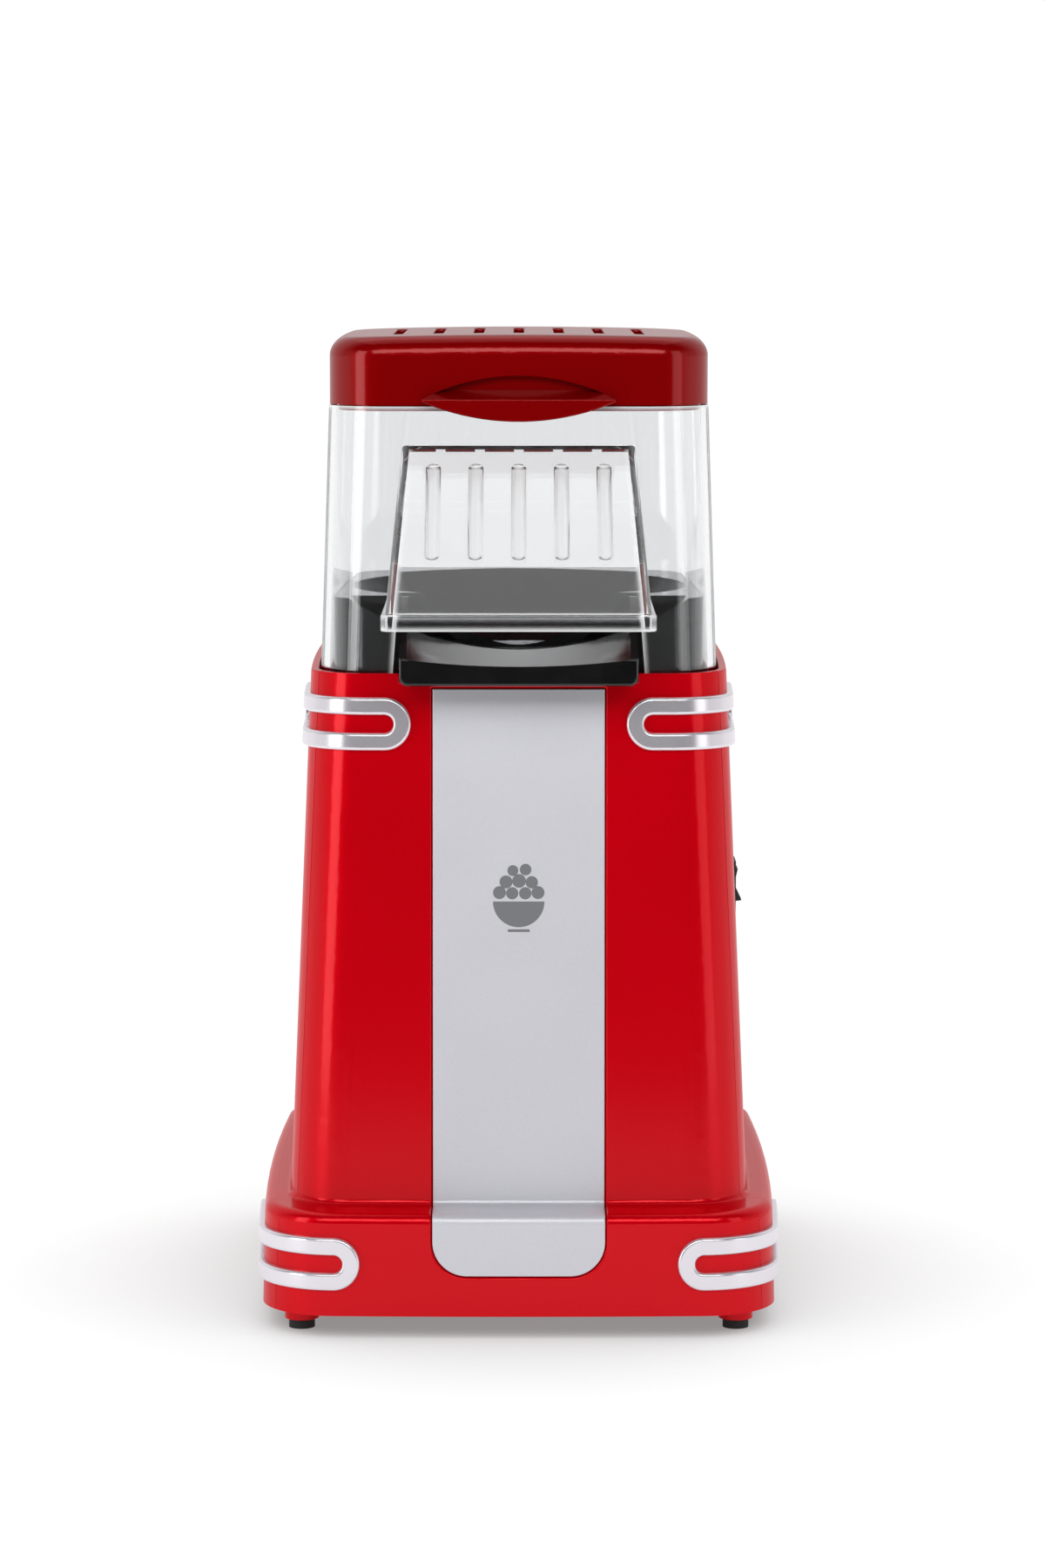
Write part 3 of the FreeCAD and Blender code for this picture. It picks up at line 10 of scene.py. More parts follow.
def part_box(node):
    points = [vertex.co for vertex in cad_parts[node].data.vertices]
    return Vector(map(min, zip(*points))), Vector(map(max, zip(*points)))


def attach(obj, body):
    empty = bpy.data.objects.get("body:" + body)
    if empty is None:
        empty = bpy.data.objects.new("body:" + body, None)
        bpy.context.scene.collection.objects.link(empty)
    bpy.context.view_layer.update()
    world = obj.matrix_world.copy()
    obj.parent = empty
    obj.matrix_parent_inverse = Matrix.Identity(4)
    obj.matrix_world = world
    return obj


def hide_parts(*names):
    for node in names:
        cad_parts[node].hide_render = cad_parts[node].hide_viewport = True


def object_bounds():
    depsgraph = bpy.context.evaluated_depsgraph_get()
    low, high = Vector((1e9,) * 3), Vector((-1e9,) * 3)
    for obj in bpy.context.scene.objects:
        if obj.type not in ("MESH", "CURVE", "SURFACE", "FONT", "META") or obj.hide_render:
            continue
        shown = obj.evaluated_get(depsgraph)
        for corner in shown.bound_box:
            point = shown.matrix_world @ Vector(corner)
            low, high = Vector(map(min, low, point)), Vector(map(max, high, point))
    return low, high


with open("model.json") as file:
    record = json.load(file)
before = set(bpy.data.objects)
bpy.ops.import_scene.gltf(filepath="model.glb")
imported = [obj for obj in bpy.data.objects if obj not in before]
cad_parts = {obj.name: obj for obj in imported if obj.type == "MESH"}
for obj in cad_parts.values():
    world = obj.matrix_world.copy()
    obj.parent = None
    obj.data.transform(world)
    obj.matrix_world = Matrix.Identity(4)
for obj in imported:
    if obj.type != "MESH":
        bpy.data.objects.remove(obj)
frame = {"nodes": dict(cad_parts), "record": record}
cad_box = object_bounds()

# Hot-air popcorn maker. Lengths are in metres, and MM turns millimetres into them.
MM = 0.001
NODES = frame["nodes"]
CENTRE = (cad_box[0] + cad_box[1]) / 2


# Small helpers ------------------------------------------------------------------------------------


def rgb(code):
    """Linear RGBA of an sRGB hex colour."""
    values = [int(code[i : i + 2], 16) / 255 for i in (1, 3, 5)]
    linear = [v / 12.92 if v <= 0.04045 else ((v + 0.055) / 1.055) ** 2.4 for v in values]
    return (*linear, 1.0)


def add(tree, kind, inputs=None, **settings):
    """Adds a shader node; its inputs are plain values, or outputs of other nodes to link."""
    node = tree.nodes.new("ShaderNode" + kind)
    for name, value in settings.items():
        setattr(node, name, value)
    for name, value in (inputs or {}).items():
        if isinstance(value, bpy.types.NodeSocket):
            tree.links.new(value, node.inputs[name])
        else:
            node.inputs[name].default_value = value
    return node


def start_material(name):
    """New material with an empty node tree, and that tree's Object coordinates."""
    made = bpy.data.materials.new(name)
    made.use_nodes = True
    made.node_tree.nodes.clear()
    place = add(made.node_tree, "TexCoord").outputs["Object"]
    return made, made.node_tree, place


def per_mm(size):
    """Texture scale that gives a pattern of this size in millimetres."""
    return 1.0 / (size * MM)


# Finishes -----------------------------------------------------------------------------------------

# A noise texture's values lie mostly between these two.
NOISE_LOW, NOISE_HIGH = 0.3, 0.7

# Flakes and waves on the lacquered, plated and clear pieces, in millimetres.
CANDY_FLAKE, CANDY_CLOUD = 0.5, 45
SILVER_FLAKE, SILVER_CLOUD = 0.35, 30
CHROME_GRAIN = 0.4
FLOW_WAVE, FLOW_DEPTH = 14, 0.15

# Clear plastic is hazy where another of its faces lies within this depth.
HAZE_DEPTH = 2.0 * MM

# Height of the flakes and grain in lacquer and plating, and of the marks in bare metal.
FINE_RELIEF = 0.01 * MM
METAL_RELIEF = 0.02 * MM


def varied(tree, shade, dark, light, sheen, roughness, swing):
    """Colour between two hex colours after the pattern shade, and roughness a little to either side
    of its middle value after the pattern sheen."""
    # Inputs 6 and 7 of a Mix node are its two colours, and output 2 is the mixed one.
    colour = add(tree, "Mix", {0: shade, 6: rgb(dark), 7: rgb(light)}, data_type="RGBA")
    rough = add(tree, "MapRange", {
        "Value": sheen,
        "From Min": NOISE_LOW,
        "From Max": NOISE_HIGH,
        "To Min": roughness - swing,
        "To Max": roughness + swing,
    })
    return {"Base Color": colour.outputs[2], "Roughness": rough.outputs[0]}


def candy_lacquer(name, dark, light, coat):
    """ABS sprayed with red metallic lacquer under a clear coat. The flakes give a soft metallic glow
    inside the red, and the coat a clearer highlight on top. Flakes of a twentieth of a millimetre are
    drawn ten times coarser so that they show."""
    made, tree, place = start_material(name)
    flakes = add(tree, "TexNoise", {"Vector": place, "Scale": per_mm(CANDY_FLAKE), "Detail": 0.0})
    cloud = add(tree, "TexNoise", {"Vector": place, "Scale": per_mm(CANDY_CLOUD), "Detail": 2.0})
    mixed = add(tree, "Math", {0: flakes.outputs[0], 1: cloud.outputs[0]}, operation="MULTIPLY")
    looks = varied(tree, mixed.outputs[0], dark, light, cloud.outputs[0], 0.30, 0.01)
    shader = add(tree, "BsdfPrincipled", looks | {
        "Metallic": 0.35,
        "Specular IOR Level": 0.0,
        "Coat Weight": coat,
        "Coat Roughness": 0.12,
    })
    add(tree, "OutputMaterial", {"Surface": shader.outputs[0]})
    return made


def silver_lacquer():
    """ABS strip sprayed with fine satin silver lacquer. It looks an even pale grey with a broad soft
    sheen. Its flakes are drawn about ten times coarser than they are, so that they show."""
    made, tree, place = start_material("satin_silver_lacquer")
    flakes = add(tree, "TexVoronoi", {"Vector": place, "Scale": per_mm(SILVER_FLAKE)})
    cloud = add(tree, "TexNoise", {"Vector": place, "Scale": per_mm(SILVER_CLOUD), "Detail": 2.0})
    shade = flakes.outputs["Color"]
    bump = add(tree, "Bump", {"Height": shade, "Strength": 0.02, "Distance": FINE_RELIEF})
    looks = varied(tree, shade, "#CDCDD4", "#D2D2D8", cloud.outputs[0], 0.43, 0.03)
    shader = add(tree, "BsdfPrincipled", looks | {"Metallic": 0.35, "Normal": bump.outputs[0]})
    add(tree, "OutputMaterial", {"Surface": shader.outputs[0]})
    return made


def satin_chrome():
    """ABS trims plated with satin chrome. They reflect like metal but softly, and the fine grain takes
    the edge off each highlight. The grain is drawn coarser than it is, so that it shows."""
    made, tree, place = start_material("satin_chrome_plate")
    grain = add(tree, "TexNoise", {"Vector": place, "Scale": per_mm(CHROME_GRAIN), "Detail": 3.0})
    marks = grain.outputs[0]
    bump = add(tree, "Bump", {"Height": marks, "Strength": 0.01, "Distance": FINE_RELIEF})
    looks = varied(tree, marks, "#E2DDE4", "#E6E2E9", marks, 0.24, 0.01)
    shader = add(tree, "BsdfPrincipled", looks | {"Metallic": 0.75, "Normal": bump.outputs[0]})
    add(tree, "OutputMaterial", {"Surface": shader.outputs[0]})
    return made


def clear_polycarbonate():
    """Injection-moulded clear polycarbonate. Faint flow waves bend what is seen through it, and the
    material turns hazy near edges, corners and ribs, which then read as soft lines. Light passes
    straight through it for shadows, as it does through a thin wall."""
    made, tree, place = start_material("clear_polycarbonate")
    waves = add(tree, "TexNoise", {"Vector": place, "Scale": per_mm(FLOW_WAVE), "Detail": 1.0})
    bump = add(tree, "Bump", {
        "Height": waves.outputs[0],
        "Strength": 0.08,
        "Distance": FLOW_DEPTH * MM,
    })
    inward = {"Distance": HAZE_DEPTH}
    open_inside = add(tree, "AmbientOcclusion", inward, inside=True, only_local=True, samples=8)
    clear = add(tree, "MapRange", {
        "Value": open_inside.outputs["AO"],
        "From Min": 0.55,
        "From Max": 0.92,
        "To Min": 0.15,
        "To Max": 1.0,
    })
    glass = add(tree, "BsdfPrincipled", {
        "Base Color": rgb("#F6F7F8"),
        "Roughness": 0.0,
        "IOR": 1.585,
        "Transmission Weight": clear.outputs[0],
        "Normal": bump.outputs[0],
    })
    lets_light = add(tree, "BsdfTransparent", {"Color": rgb("#EDEFF0")})
    path = add(tree, "LightPath")
    both = add(tree, "MixShader", {
        0: path.outputs["Is Shadow Ray"],
        1: glass.outputs[0],
        2: lets_light.outputs[0],
    })
    add(tree, "OutputMaterial", {"Surface": both.outputs[0]})
    return made


def moulded(name, dark, light, roughness, grain_size, grain_depth):
    """Moulded, pressed or printed piece: two close shades, and the grain of its tool, its size and
    depth in millimetres. Grain finer than about 0.2 mm is drawn that coarse, so that it shows."""
    made, tree, place = start_material(name)
    grain = add(tree, "TexNoise", {"Vector": place, "Scale": per_mm(grain_size), "Detail": 3.0})
    marks = grain.outputs[0]
    bump = add(tree, "Bump", {"Height": marks, "Strength": 0.3, "Distance": grain_depth * MM})
    looks = varied(tree, marks, dark, light, marks, roughness, 0.03)
    shader = add(tree, "BsdfPrincipled", looks | {"Normal": bump.outputs[0]})
    add(tree, "OutputMaterial", {"Surface": shader.outputs[0]})
    return made


def metal(name, dark, light, roughness, grain):
    """Bare metal; grain is the size in millimetres of its marks along X, Y and Z. Marks finer than
    about 0.3 mm are drawn that coarse, so that they show."""
    made, tree, place = start_material(name)
    scale = [per_mm(size) for size in grain]
    turned = add(tree, "Mapping", {"Vector": place, "Scale": scale})
    noise = add(tree, "TexNoise", {"Vector": turned.outputs[0], "Scale": 1.0, "Detail": 3.0})
    marks = noise.outputs[0]
    bump = add(tree, "Bump", {"Height": marks, "Strength": 0.15, "Distance": METAL_RELIEF})
    looks = varied(tree, marks, dark, light, marks, roughness, 0.06)
    shader = add(tree, "BsdfPrincipled", looks | {"Metallic": 1.0, "Normal": bump.outputs[0]})
    add(tree, "OutputMaterial", {"Surface": shader.outputs[0]})
    return made


# After the name and the two shades come, for moulded, the roughness and the grain's size and depth in
# millimetres, and for metal, the roughness and the marks' size along X, Y and Z in millimetres.
FINISHES = {
    # Shells and bottom plate: saturated red with one soft, clear highlight.
    "red_shell": candy_lacquer("candy_red_lacquer", "#CC0010", "#DA0017", 0.3),
    # Front band: even pale grey, with no sharp reflection.
    "silver_strip": silver_lacquer(),
    # Loops round the corners: brighter than the band, with soft reflections along their ridges.
    "silver_trim": satin_chrome(),
    # Cover: see-through, with soft lines along its edges and ribs.
    "clear_plastic": clear_polycarbonate(),
    # Funnel and tray: near black, with sharp highlights that waver over a broad, faint ripple.
    "black_gloss": moulded("polished_black_polypropylene", "#0B0B0C", "#111112", 0.12, 9.0, 0.01),
    # Switch, gland, fan housing and small black pieces inside: dull, with a fine grain.
    "dark_plastic": moulded("black_glass_filled_nylon", "#191919", "#222223", 0.5, 0.6, 0.02),
    # Fan, terminal block and thermal fuse: cream, slightly waxy.
    "pale_plastic": moulded("natural_nylon", "#D9D5C8", "#E4E0D4", 0.45, 0.8, 0.02),
    # Foot pads: flat black that hardly reflects.
    "rubber": moulded("black_rubber", "#141414", "#1D1D1D", 0.72, 0.5, 0.03),
    # Wires: pale and satin.
    "wire_sleeve": moulded("silicone_wire_sleeve", "#C9C4B4", "#D8D3C4", 0.5, 0.7, 0.02),
    # Heater boards: tan and mottled like pressed flakes.
    "mica": moulded("pressed_mica", "#A88F63", "#C9B183", 0.35, 1.8, 0.03),
    # Motor magnets: dark grey and stony.
    "ferrite": moulded("sintered_ferrite", "#2A2A2C", "#37373A", 0.6, 0.3, 0.02),
    # Rectifier board: green with a slight gloss.
    "circuit_board": moulded("circuit_board", "#1E5A34", "#27703F", 0.35, 0.9, 0.01),
    # Motor brushes: charcoal, almost matt.
    "carbon": moulded("pressed_carbon", "#1C1C1D", "#2A2A2B", 0.55, 0.2, 0.01),
    # Print on the front band: flat mid grey.
    "grey_ink": moulded("grey_pad_print", "#6C6D70", "#76777A", 0.45, 0.5, 0.01),
    # Marks on the rocker: flat white.
    "white_ink": moulded("white_pad_print", "#D8D8D8", "#E6E6E6", 0.45, 0.5, 0.01),
    # Screws, fan nut and shaft: cool, bright and lightly speckled.
    "zinc_steel": metal("zinc_plated_steel", "#B9BDC2", "#CED2D6", 0.3, (0.5, 0.5, 0.5)),
    # Heat shield, motor can and brackets: duller grey, in blotches a few millimetres across.
    "sheet_steel": metal("zinc_coated_sheet", "#A9ADB1", "#C3C7CA", 0.38, (4.0, 4.0, 4.0)),
    # Popping chamber: pale, ringed with fine level lines where the tool went round it.
    "aluminium": metal("spun_aluminium", "#C4C5C7", "#DCDDDF", 0.3, (6.0, 6.0, 0.3)),
    # Heater wire: brown-grey, dulled by its oxide.
    "nichrome": metal("oxidised_nichrome", "#4E4A47", "#6C6661", 0.45, (0.4, 0.4, 0.4)),
    # Armature: mid grey, in thin layers along the shaft.
    "laminated_steel": metal("stacked_steel_sheet", "#6E7175", "#8E9195", 0.4, (9.0, 9.0, 0.5)),
    # Commutator and windings: warm orange brown.
    "copper": metal("drawn_copper", "#B4683C", "#C97B4C", 0.3, (0.4, 0.4, 0.4)),
    # Motor bushes: brown and slightly porous.
    "bronze": metal("sintered_bronze", "#8E6A3C", "#A98249", 0.4, (0.3, 0.3, 0.3)),
    # Terminals: yellow metal.
    "brass": metal("brass", "#B08D45", "#C7A45A", 0.3, (0.4, 0.4, 0.4)),
}

# Lid: the shells' lacquer with darker shades and a stronger coat, so it looks wine red; the darker
# shades are painted shade.
LID_RED_WITH_PAINTED_SHADE = candy_lacquer("lid_red_lacquer_painted_shade", "#8A0002", "#980003", 0.45)


def give_finishes():
    """Every CAD node gets the finish of its slot in the record; the lid's is a darker copy of its
    lacquer, painted shade.
    """
    slots = {part["node"]: part["material_slot"] for part in frame["record"]["subparts"]}
    for name, node in NODES.items():
        node.data.materials.clear()
        # The lid gets a darker copy of the red lacquer: painted shade.
        node.data.materials.append(LID_RED_WITH_PAINTED_SHADE if name == "lid" else FINISHES[slots[name]])


give_finishes()


# Pieces drawn finer than in CAD -------------------------------------------------------------------

# Two points nearer than this are one.
TOUCH = 1e-7


def piece(name, shape, finish_name, body, stands_for=()):
    """Turns a closed bmesh into a piece that moves with a body; stands_for are nodes it redraws."""
    bmesh.ops.recalc_face_normals(shape, faces=shape.faces)
    mesh = bpy.data.meshes.new(name)
    shape.to_mesh(mesh)
    shape.free()
    mesh.materials.append(FINISHES[finish_name])
    made = bpy.data.objects.new(name, mesh)
    bpy.context.scene.collection.objects.link(made)
    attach(made, body)
    if stands_for:
        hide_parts(*stands_for)


def spun(shape, profile, closed=False, steps=24):
    """Surface of revolution about Z from (radius, height) points; returns its vertices."""
    line = [shape.verts.new((radius, 0, height)) for radius, height in profile]
    pairs = list(zip(line, line[1:] + line[:1] if closed else line[1:]))
    edges = [shape.edges.new(pair) for pair in pairs]
    before = set(shape.verts) - set(line)
    bmesh.ops.spin(
        shape,
        geom=line + edges,
        axis=(0, 0, 1),
        cent=(0, 0, 0),
        angle=math.tau,
        steps=steps,
        use_merge=True,
    )
    return [vertex for vertex in shape.verts if vertex not in before]


# Printed marks. Drawings are in millimetres, from their own middles, and are laid where a line from
# OUTSIDE meets the piece.
INK_THICK = 0.04 * MM
INK_SINK = 0.03 * MM
OUTSIDE = 200 * MM

PRINT_HEIGHT = 126 * MM
BOWL_RIM = -1.0
BOWL_RADIUS = 7.5
BOWL_SIDES = 64
BOWL_FOOT_MIDDLE = -9.5
BOWL_FOOT = (6.4, 0.8)
POPPED_CORN = [
    (-5.6, 1.6, 1.9),
    (-1.9, 1.4, 1.8),
    (1.9, 1.4, 1.8),
    (5.6, 1.6, 1.9),
    (-3.7, 4.7, 1.9),
    (0.1, 5.0, 2.0),
    (3.8, 4.6, 1.8),
    (-1.7, 8.0, 1.6),
    (2.0, 8.3, 1.7),
]

ROCKER_MARK_OFF = 3.0 * MM
ROCKER_BAR = (0.5, 2.4)
ROCKER_RING = (0.8, 1.2)


def on_face(node, place, way):
    """Matrix from flat drawing to a node's surface, where a line from place along way meets it."""
    mesh = NODES[node].data
    faces = BVHTree.FromPolygons([v.co for v in mesh.vertices], [f.vertices for f in mesh.polygons])
    spot, out, *_ = faces.ray_cast(Vector(place), Vector(way))
    across = Vector((0, 0, 1)).cross(out).normalized()
    turn = Matrix((across, out.cross(across), out)).transposed()
    return Matrix.Translation(spot) @ turn.to_4x4()


def ink_dot(shape, x, y, radius, sides=20):
    """Flat round patch, in millimetres; returns its corners."""
    place = Matrix.Translation((x * MM, y * MM, -INK_SINK))
    size = {"radius": radius * MM, "segments": sides}
    return bmesh.ops.create_circle(shape, cap_ends=True, matrix=place, **size)["verts"]


def ink_bar(shape, x, y, width, height):
    """Flat upright patch, in millimetres; returns its corners."""
    place = Matrix.Translation((x * MM, y * MM, -INK_SINK))
    sized = place @ Matrix.Diagonal((width * MM, height * MM, 1, 1))
    return bmesh.ops.create_grid(shape, x_segments=1, y_segments=1, size=0.5, matrix=sized)["verts"]


def print_on(shape, corners, matrix):
    """Gives a flat patch its thickness of ink and lays it on a surface."""
    patch = list({face for corner in corners for face in corner.link_faces})
    grown = bmesh.ops.extrude_face_region(shape, geom=patch)["geom"]
    top = [item for item in grown if isinstance(item, bmesh.types.BMVert)]
    bmesh.ops.translate(shape, verts=top, vec=(0, 0, INK_SINK + INK_THICK))
    bmesh.ops.transform(shape, matrix=matrix, verts=corners + top)


def print_bowl():
    """Grey bowl of popped corn, the generic mark on the front strip."""
    matrix = on_face("front_strip", (0, -OUTSIDE, PRINT_HEIGHT), (0, 1, 0))
    shape = bmesh.new()
    ink_dot(shape, 0, BOWL_RIM, BOWL_RADIUS, BOWL_SIDES)
    whole = shape.verts[:] + shape.edges[:] + shape.faces[:]
    rim = (0, BOWL_RIM * MM, 0)
    bmesh.ops.bisect_plane(shape, geom=whole, plane_co=rim, plane_no=(0, 1, 0), clear_outer=True)
    print_on(shape, shape.verts[:], matrix)
    print_on(shape, ink_bar(shape, 0, BOWL_FOOT_MIDDLE, *BOWL_FOOT), matrix)
    for x, y, radius in POPPED_CORN:
        print_on(shape, ink_dot(shape, x, y, radius), matrix)
    piece("strip_print", shape, "grey_ink", "housing")


def print_rocker_marks():
    """White bar and ring on the two halves of the rocker."""
    low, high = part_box("switch_rocker")
    rocker = (low + high) / 2
    upper, lower = (
        on_face("switch_rocker", (OUTSIDE, rocker.y, rocker.z + off), (-1, 0, 0))
        for off in (ROCKER_MARK_OFF, -ROCKER_MARK_OFF)
    )
    shape = bmesh.new()
    print_on(shape, ink_bar(shape, 0, 0, *ROCKER_BAR), upper)
    inner, outer = (radius * MM for radius in ROCKER_RING)
    section = [(inner, -INK_SINK), (outer, -INK_SINK), (outer, INK_THICK), (inner, INK_THICK)]
    bmesh.ops.transform(shape, matrix=lower, verts=spun(shape, section, closed=True))
    piece("rocker_marks", shape, "white_ink", "rocker")


# Pan-head screws. A share is of the head's radius, or of the shank's for the tip. A drop goes from
# the head's top towards its seat. The points of one screw lie within SAME_SCREW of each other, and
# those beyond HEAD_SHARE of the head's radius are on its side.
SAME_SCREW = 7 * MM
HEAD_SHARE = 0.9
FLAT_SHARE = 0.72
SHOULDER_SHARE = 0.93
SHOULDER_DROP = 0.35 * MM
SIDE_DROP = 0.9 * MM
TIP_SHARE = 0.5
TIP_LENGTH = 0.6 * MM
RECESS_ARM_SHARE = 0.55
RECESS_HALF_SHARE = 0.14
RECESS_DEPTH = 1.1 * MM


def screws_of(node):
    """Axis, head radius, shank radius and head top, seat and tip of each screw in a CAD node."""
    groups = []
    for vertex in NODES[node].data.vertices:
        near = [group for group in groups if (group[0].xy - vertex.co.xy).length < SAME_SCREW]
        if near:
            near[0].append(vertex.co)
        else:
            groups.append([vertex.co])
    for group in groups:
        xs, ys, zs = zip(*group)
        axis = Vector(((min(xs) + max(xs)) / 2, (min(ys) + max(ys)) / 2))
        head = (max(xs) - min(xs)) / 2
        wide = [co.z for co in group if (co.xy - axis).length > HEAD_SHARE * head]
        shank = max((co.xy - axis).length for co in group if not min(wide) <= co.z <= max(wide))
        upright = max(wide) == max(zs)
        ends = (max(wide), min(wide), min(zs)) if upright else (min(wide), max(wide), max(zs))
        yield axis, head, shank, ends


def cross_head_screws(node):
    """Redraws pan-head screws with a rounded head and a cross recess."""
    shape = bmesh.new()
    for axis, head, shank, (top, seat, tip) in screws_of(node):
        up = math.copysign(1, top - seat)
        rim = FLAT_SHARE * head
        profile = [
            (rim, top),
            (SHOULDER_SHARE * head, top - up * SHOULDER_DROP),
            (head, top - up * SIDE_DROP),
            (head, seat),
            (shank, seat),
            (shank, tip + up * TIP_LENGTH),
            (TIP_SHARE * shank, tip),
            (0, tip),
        ]
        body = spun(shape, profile)
        arm, half = RECESS_ARM_SHARE * head, RECESS_HALF_SHARE * head
        cross = [(half, arm), (half, half), (arm, half), (arm, -half), (half, -half), (half, -arm)]
        cross += [(-x, -y) for x, y in cross]
        recess = [shape.verts.new((x, y, top)) for x, y in cross]
        lips = [shape.edges.new(pair) for pair in zip(recess, recess[1:] + recess[:1])]
        level = {v for v in body if abs(v.co.z - top) < TOUCH}
        ring = {v for v in level if abs(v.co.xy.length - rim) < TOUCH}
        rim_edges = {edge for v in ring for edge in v.link_edges if set(edge.verts) <= ring}
        bmesh.ops.triangle_fill(shape, use_beauty=True, edges=list(rim_edges) + lips)
        grown = bmesh.ops.extrude_edge_only(shape, edges=lips)["geom"]
        floor = [item for item in grown if isinstance(item, bmesh.types.BMVert)]
        bmesh.ops.translate(shape, verts=floor, vec=(0, 0, -up * RECESS_DEPTH))
        floor_edges = [item for item in grown if isinstance(item, bmesh.types.BMEdge)]
        bmesh.ops.triangle_fill(shape, use_beauty=True, edges=floor_edges)
        bmesh.ops.translate(shape, verts=body + recess + floor, vec=(*axis, 0))
    bmesh.ops.remove_doubles(shape, verts=shape.verts, dist=TOUCH)
    piece(node.replace("screws", "cross_head_screws"), shape, "zinc_steel", "housing", [node])


# Wound wire. HEATER_WIRE and WINDING_WIRE are radii; other lengths go to the middle of a wire.
HEATER_RINGS = (16 * MM, 25 * MM, 34 * MM)
HEATER_WIRE = 0.28 * MM
HEATER_PITCH = 1.6 * MM
POINTS_PER_TURN = 12
POLES = 5
WINDING_REACH = (5.6 * MM, 6.5 * MM, 7.4 * MM, 8.3 * MM)
WINDING_WIRE = 0.4 * MM
WINDING_OFF = 0.45 * MM


def wire(shape, points, radius, sides):
    """Adds a closed loop of round wire through points."""
    curve = bpy.data.curves.new("wire_path", "CURVE")
    curve.dimensions = "3D"
    curve.bevel_depth = radius
    curve.bevel_resolution = sides
    line = curve.splines.new("POLY")
    line.points.add(len(points) - 1)
    for spot, point in zip(line.points, points):
        spot.co = (*point, 1)
    line.use_cyclic_u = True
    holder = bpy.data.objects.new("wire_path", curve)
    mesh = holder.to_mesh()
    shape.from_mesh(mesh)
    holder.to_mesh_clear()
    bpy.data.objects.remove(holder)
    bpy.data.curves.remove(curve)


def wind_heater():
    """Heater coil as the wound wire it is: three rings, held in the notches of the mica boards."""
    low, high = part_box("heater_coil")
    centre = (low + high) / 2
    wound = (high.z - low.z) / 2 - HEATER_WIRE
    shape = bmesh.new()
    for radius in HEATER_RINGS:
        count = round(math.tau * radius / HEATER_PITCH) * POINTS_PER_TURN
        points = []
        for i in range(count):
            round_ring = math.tau * i / count
            round_wire = math.tau * i / POINTS_PER_TURN
            reach = radius + wound * math.cos(round_wire)
            height = wound * math.sin(round_wire)
            flat = (reach * math.cos(round_ring), reach * math.sin(round_ring), height)
            points.append(centre + Vector(flat))
        wire(shape, points, HEATER_WIRE, 0)
    piece("wound_heater_coil", shape, "nichrome", "housing", ["heater_coil"])


def wind_armature():
    """Enamelled copper round each of the five poles of the motor's armature: a loop goes down one slot
    and up the next, WINDING_OFF from their middles, round the pole between them."""
    low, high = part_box("motor_armature")
    centre = (low + high) / 2
    shape = bmesh.new()
    for pole in range(POLES):
        for reach in WINDING_REACH:
            points = []
            for side, ends in enumerate(((1, -1), (-1, 1))):
                angle = math.tau * (pole + side) / POLES
                radial = Vector((math.cos(angle), math.sin(angle), 0))
                inward = Vector((-math.sin(angle), math.cos(angle), 0)) * (1 - 2 * side)
                for end in ends:
                    z = centre.z + end * ((high.z - low.z) / 2 + WINDING_WIRE)
                    spot = Vector((centre.x, centre.y, z)) + radial * reach
                    points.append(spot + inward * WINDING_OFF)
            wire(shape, points, WINDING_WIRE, 1)
    piece("armature_windings", shape, "copper", "fan")


print_bowl()
print_rocker_marks()
for screws in ("base_screws", "shield_screws", "fan_housing_screws"):
    cross_head_screws(screws)
wind_heater()
wind_armature()


# Studio -------------------------------------------------------------------------------------------

# The floor ends just in front of the camera, and its glow is painted dimmer within SHADE_REACH of the
# object, a painted shadow.
FLOOR_HALF = 30.0
FLOOR_FRONT = -1.3
PAPER_GRAIN = 2.0
SHADE_REACH = 0.16
SHADED_GLOW, OPEN_GLOW = 0.27, 0.97

# Brightness of the room's walls, and the least that bounced light meets beyond the clear cover.
DARK_WALL, SIDE_WALL, BACK_WALL = 0.03, 0.6, 0.86
BOUNCED = 0.3

# Where the walls begin to brighten and are fully bright: how far a direction of length 1 points
# sideways, and backwards from the camera.
SIDE_BEGINS, SIDE_FULL = 0.85, 0.98
BACK_BEGINS, BACK_FULL = -0.1, 0.4

# Name, place, size and radiance of each lamp.
LAMPS = [
    ("front_high", (0.0, -1.4, 0.95), (2.0, 0.55), 4.2),
    ("overhead", (0.0, 0.2, 1.3), (1.2, 1.0), 0.6),
    ("left_front", (-1.3, -0.8, 0.35), (0.5, 1.2), 3.4),
    ("right_front", (1.3, -0.8, 0.35), (0.5, 1.2), 1.5),
]

LENS = 106.0
SENSOR = 36.0
FAR = 100.0
CAMERA_PLACE = (1.1 * MM, -1387 * MM, 319.8 * MM)
CAMERA_DOWN = math.radians(6.885)


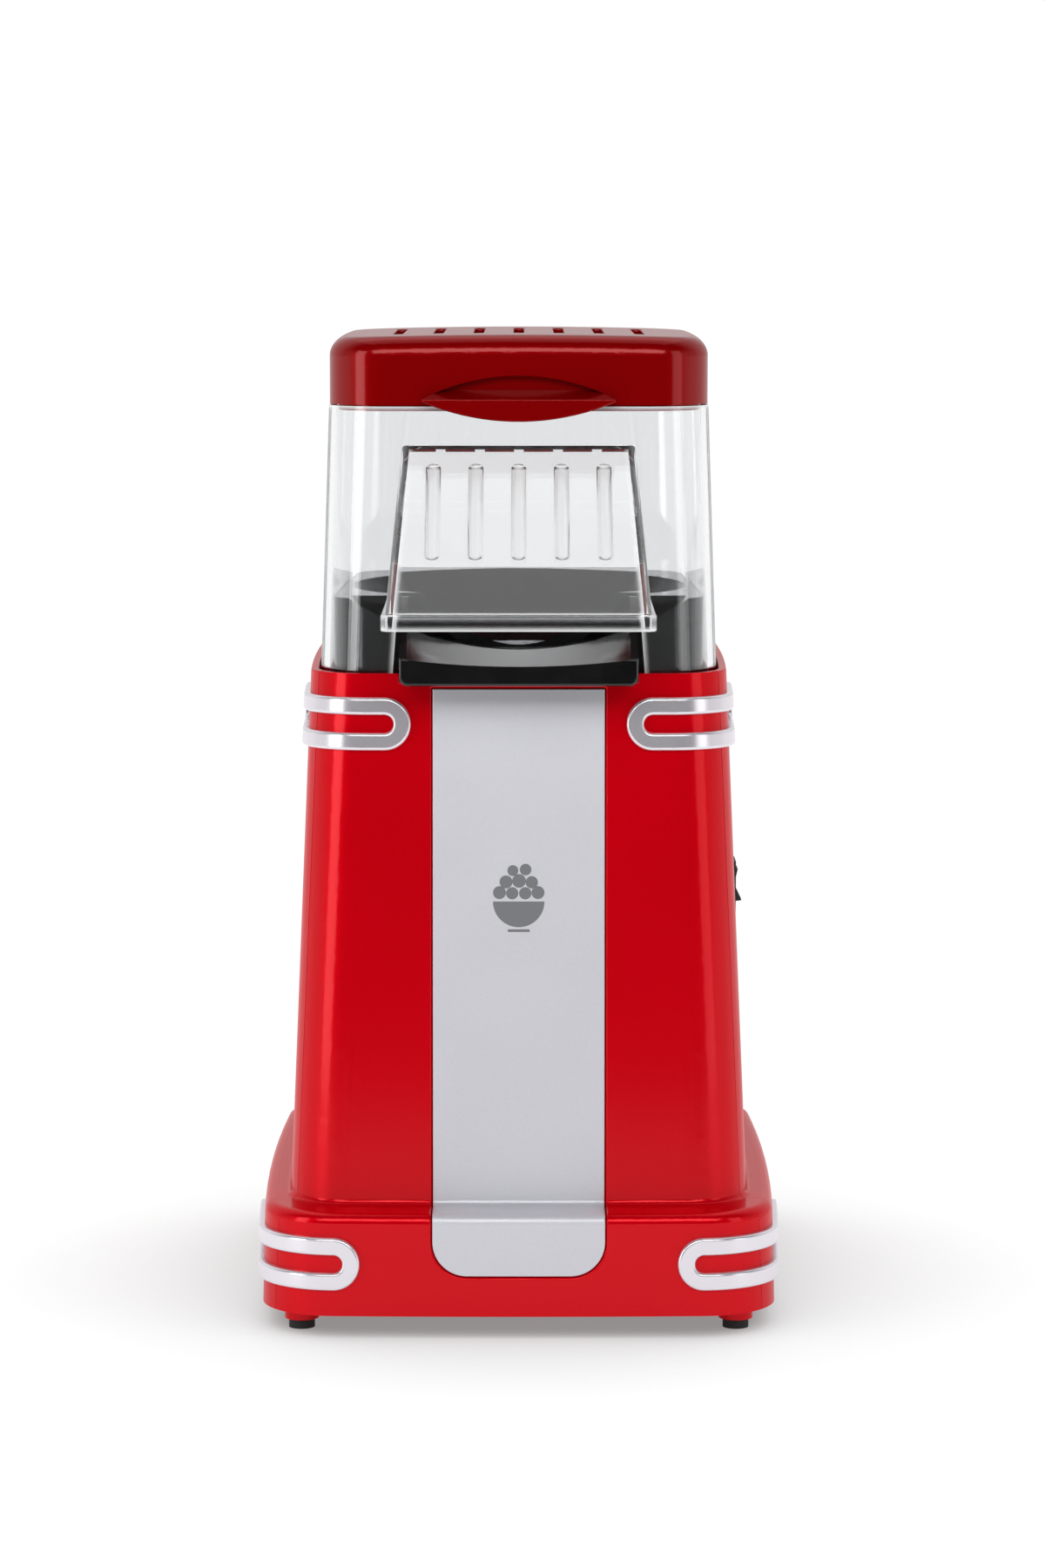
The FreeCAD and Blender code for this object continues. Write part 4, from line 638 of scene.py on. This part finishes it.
def make_floor():
    """Plain pale table top, lit from inside like a light table; its glow is painted dimmer where the
    object is near, a painted shadow.
    Its paper grain is drawn coarser than it is, so that it shows."""
    mesh = bpy.data.meshes.new("studio_floor")
    shape = bmesh.new()
    bmesh.ops.create_grid(shape, x_segments=1, y_segments=1, size=FLOOR_HALF)
    for corner in shape.verts:
        corner.co.y = max(corner.co.y, FLOOR_FRONT)
    shape.to_mesh(mesh)
    shape.free()
    floor = bpy.data.objects.new("studio_floor", mesh)
    bpy.context.scene.collection.objects.link(floor)
    made, tree, place = start_material("matt_white_floor")
    paper = add(tree, "TexNoise", {"Vector": place, "Scale": per_mm(PAPER_GRAIN), "Detail": 2.0})
    open_to_room = add(tree, "AmbientOcclusion", {"Distance": SHADE_REACH})
    # The glow drops where the floor sees less of the room near the object: a painted shadow.
    glow = add(tree, "MapRange", {
        "Value": open_to_room.outputs["AO"],
        "From Min": 0.1,
        "From Max": 0.95,
        "To Min": SHADED_GLOW,
        "To Max": OPEN_GLOW,
    })
    shades = {0: paper.outputs[0], 6: rgb("#606060"), 7: rgb("#646464")}
    shader = add(tree, "BsdfPrincipled", {
        "Base Color": add(tree, "Mix", shades, data_type="RGBA").outputs[2],
        "Roughness": 0.9,
        "Specular IOR Level": 0.0,
        "Emission Color": (1, 1, 1, 1),
        "Emission Strength": glow.outputs[0],
    })
    add(tree, "OutputMaterial", {"Surface": shader.outputs[0]})
    mesh.materials.append(made)


def make_world():
    """Room with a white wall behind, grey ones at the sides and a dark one behind the camera; seen
    directly, it is plain white. Light that only passed through the clear cover meets the back wall's
    brightness whichever way it goes. If it also bounced on the way, it meets BOUNCED where the wall
    is darker than that, so that edges of the cover don't turn black."""
    world = bpy.data.worlds.new("white_room")
    bpy.context.scene.world = world
    world.use_nodes = True
    tree = world.node_tree
    tree.nodes.clear()
    place = add(tree, "TexCoord").outputs["Generated"]
    way = add(tree, "SeparateXYZ", {0: place})
    across = add(tree, "Math", {0: way.outputs["X"]}, operation="ABSOLUTE")
    sides = add(tree, "MapRange", {
        "Value": across.outputs[0],
        "From Min": SIDE_BEGINS,
        "From Max": SIDE_FULL,
        "To Min": DARK_WALL,
        "To Max": SIDE_WALL,
    })
    back = add(tree, "MapRange", {
        "Value": way.outputs["Y"],
        "From Min": BACK_BEGINS,
        "From Max": BACK_FULL,
        "To Min": DARK_WALL,
        "To Max": BACK_WALL,
    })
    walls = add(tree, "Math", {0: sides.outputs[0], 1: back.outputs[0]}, operation="MAXIMUM")
    path = add(tree, "LightPath")
    depths = {0: path.outputs["Ray Depth"], 1: path.outputs["Transmission Depth"]}
    bounces = add(tree, "Math", depths, operation="SUBTRACT")
    beyond = add(tree, "MapRange", {
        "Value": bounces.outputs[0],
        "From Min": 0.0,
        "From Max": 1.0,
        "To Min": BACK_WALL,
        "To Max": BOUNCED,
    })
    through = {0: path.outputs["Is Transmission Ray"], 1: beyond.outputs[0]}
    clear = add(tree, "Math", through, operation="MULTIPLY")
    lit = add(tree, "Math", {0: walls.outputs[0], 1: clear.outputs[0]}, operation="MAXIMUM")
    direct = {0: path.outputs["Is Camera Ray"], 1: lit.outputs[0]}
    seen = add(tree, "Math", direct, operation="MAXIMUM")
    shader = add(tree, "Background", {"Color": (1, 1, 1, 1), "Strength": seen.outputs[0]})
    add(tree, "OutputWorld", {"Surface": shader.outputs[0]})


def softbox(name, place, size, radiance):
    """Rectangular lamp at place that faces the object; a radiance of 1 shows as plain white."""
    data = bpy.data.lights.new(name, "AREA")
    data.shape = "RECTANGLE"
    data.size, data.size_y = size
    data.energy = radiance * math.pi * size[0] * size[1]
    lamp = bpy.data.objects.new(name, data)
    lamp.location = place
    lamp.rotation_euler = (CENTRE - Vector(place)).to_track_quat("-Z", "Y").to_euler()
    bpy.context.scene.collection.objects.link(lamp)


def make_camera():
    """Long lens in front, a little above the top of the lid and looking slightly down."""
    data = bpy.data.cameras.new("camera")
    data.lens = LENS
    data.sensor_width = SENSOR
    data.clip_end = FAR
    camera = bpy.data.objects.new("camera", data)
    camera.location = CAMERA_PLACE
    camera.rotation_euler = (math.pi / 2 - CAMERA_DOWN, 0, 0)
    bpy.context.scene.collection.objects.link(camera)
    bpy.context.scene.camera = camera


make_floor()
make_world()
for lamp in LAMPS:
    softbox(*lamp)
make_camera()
bpy.context.scene.view_settings.view_transform = "Standard"
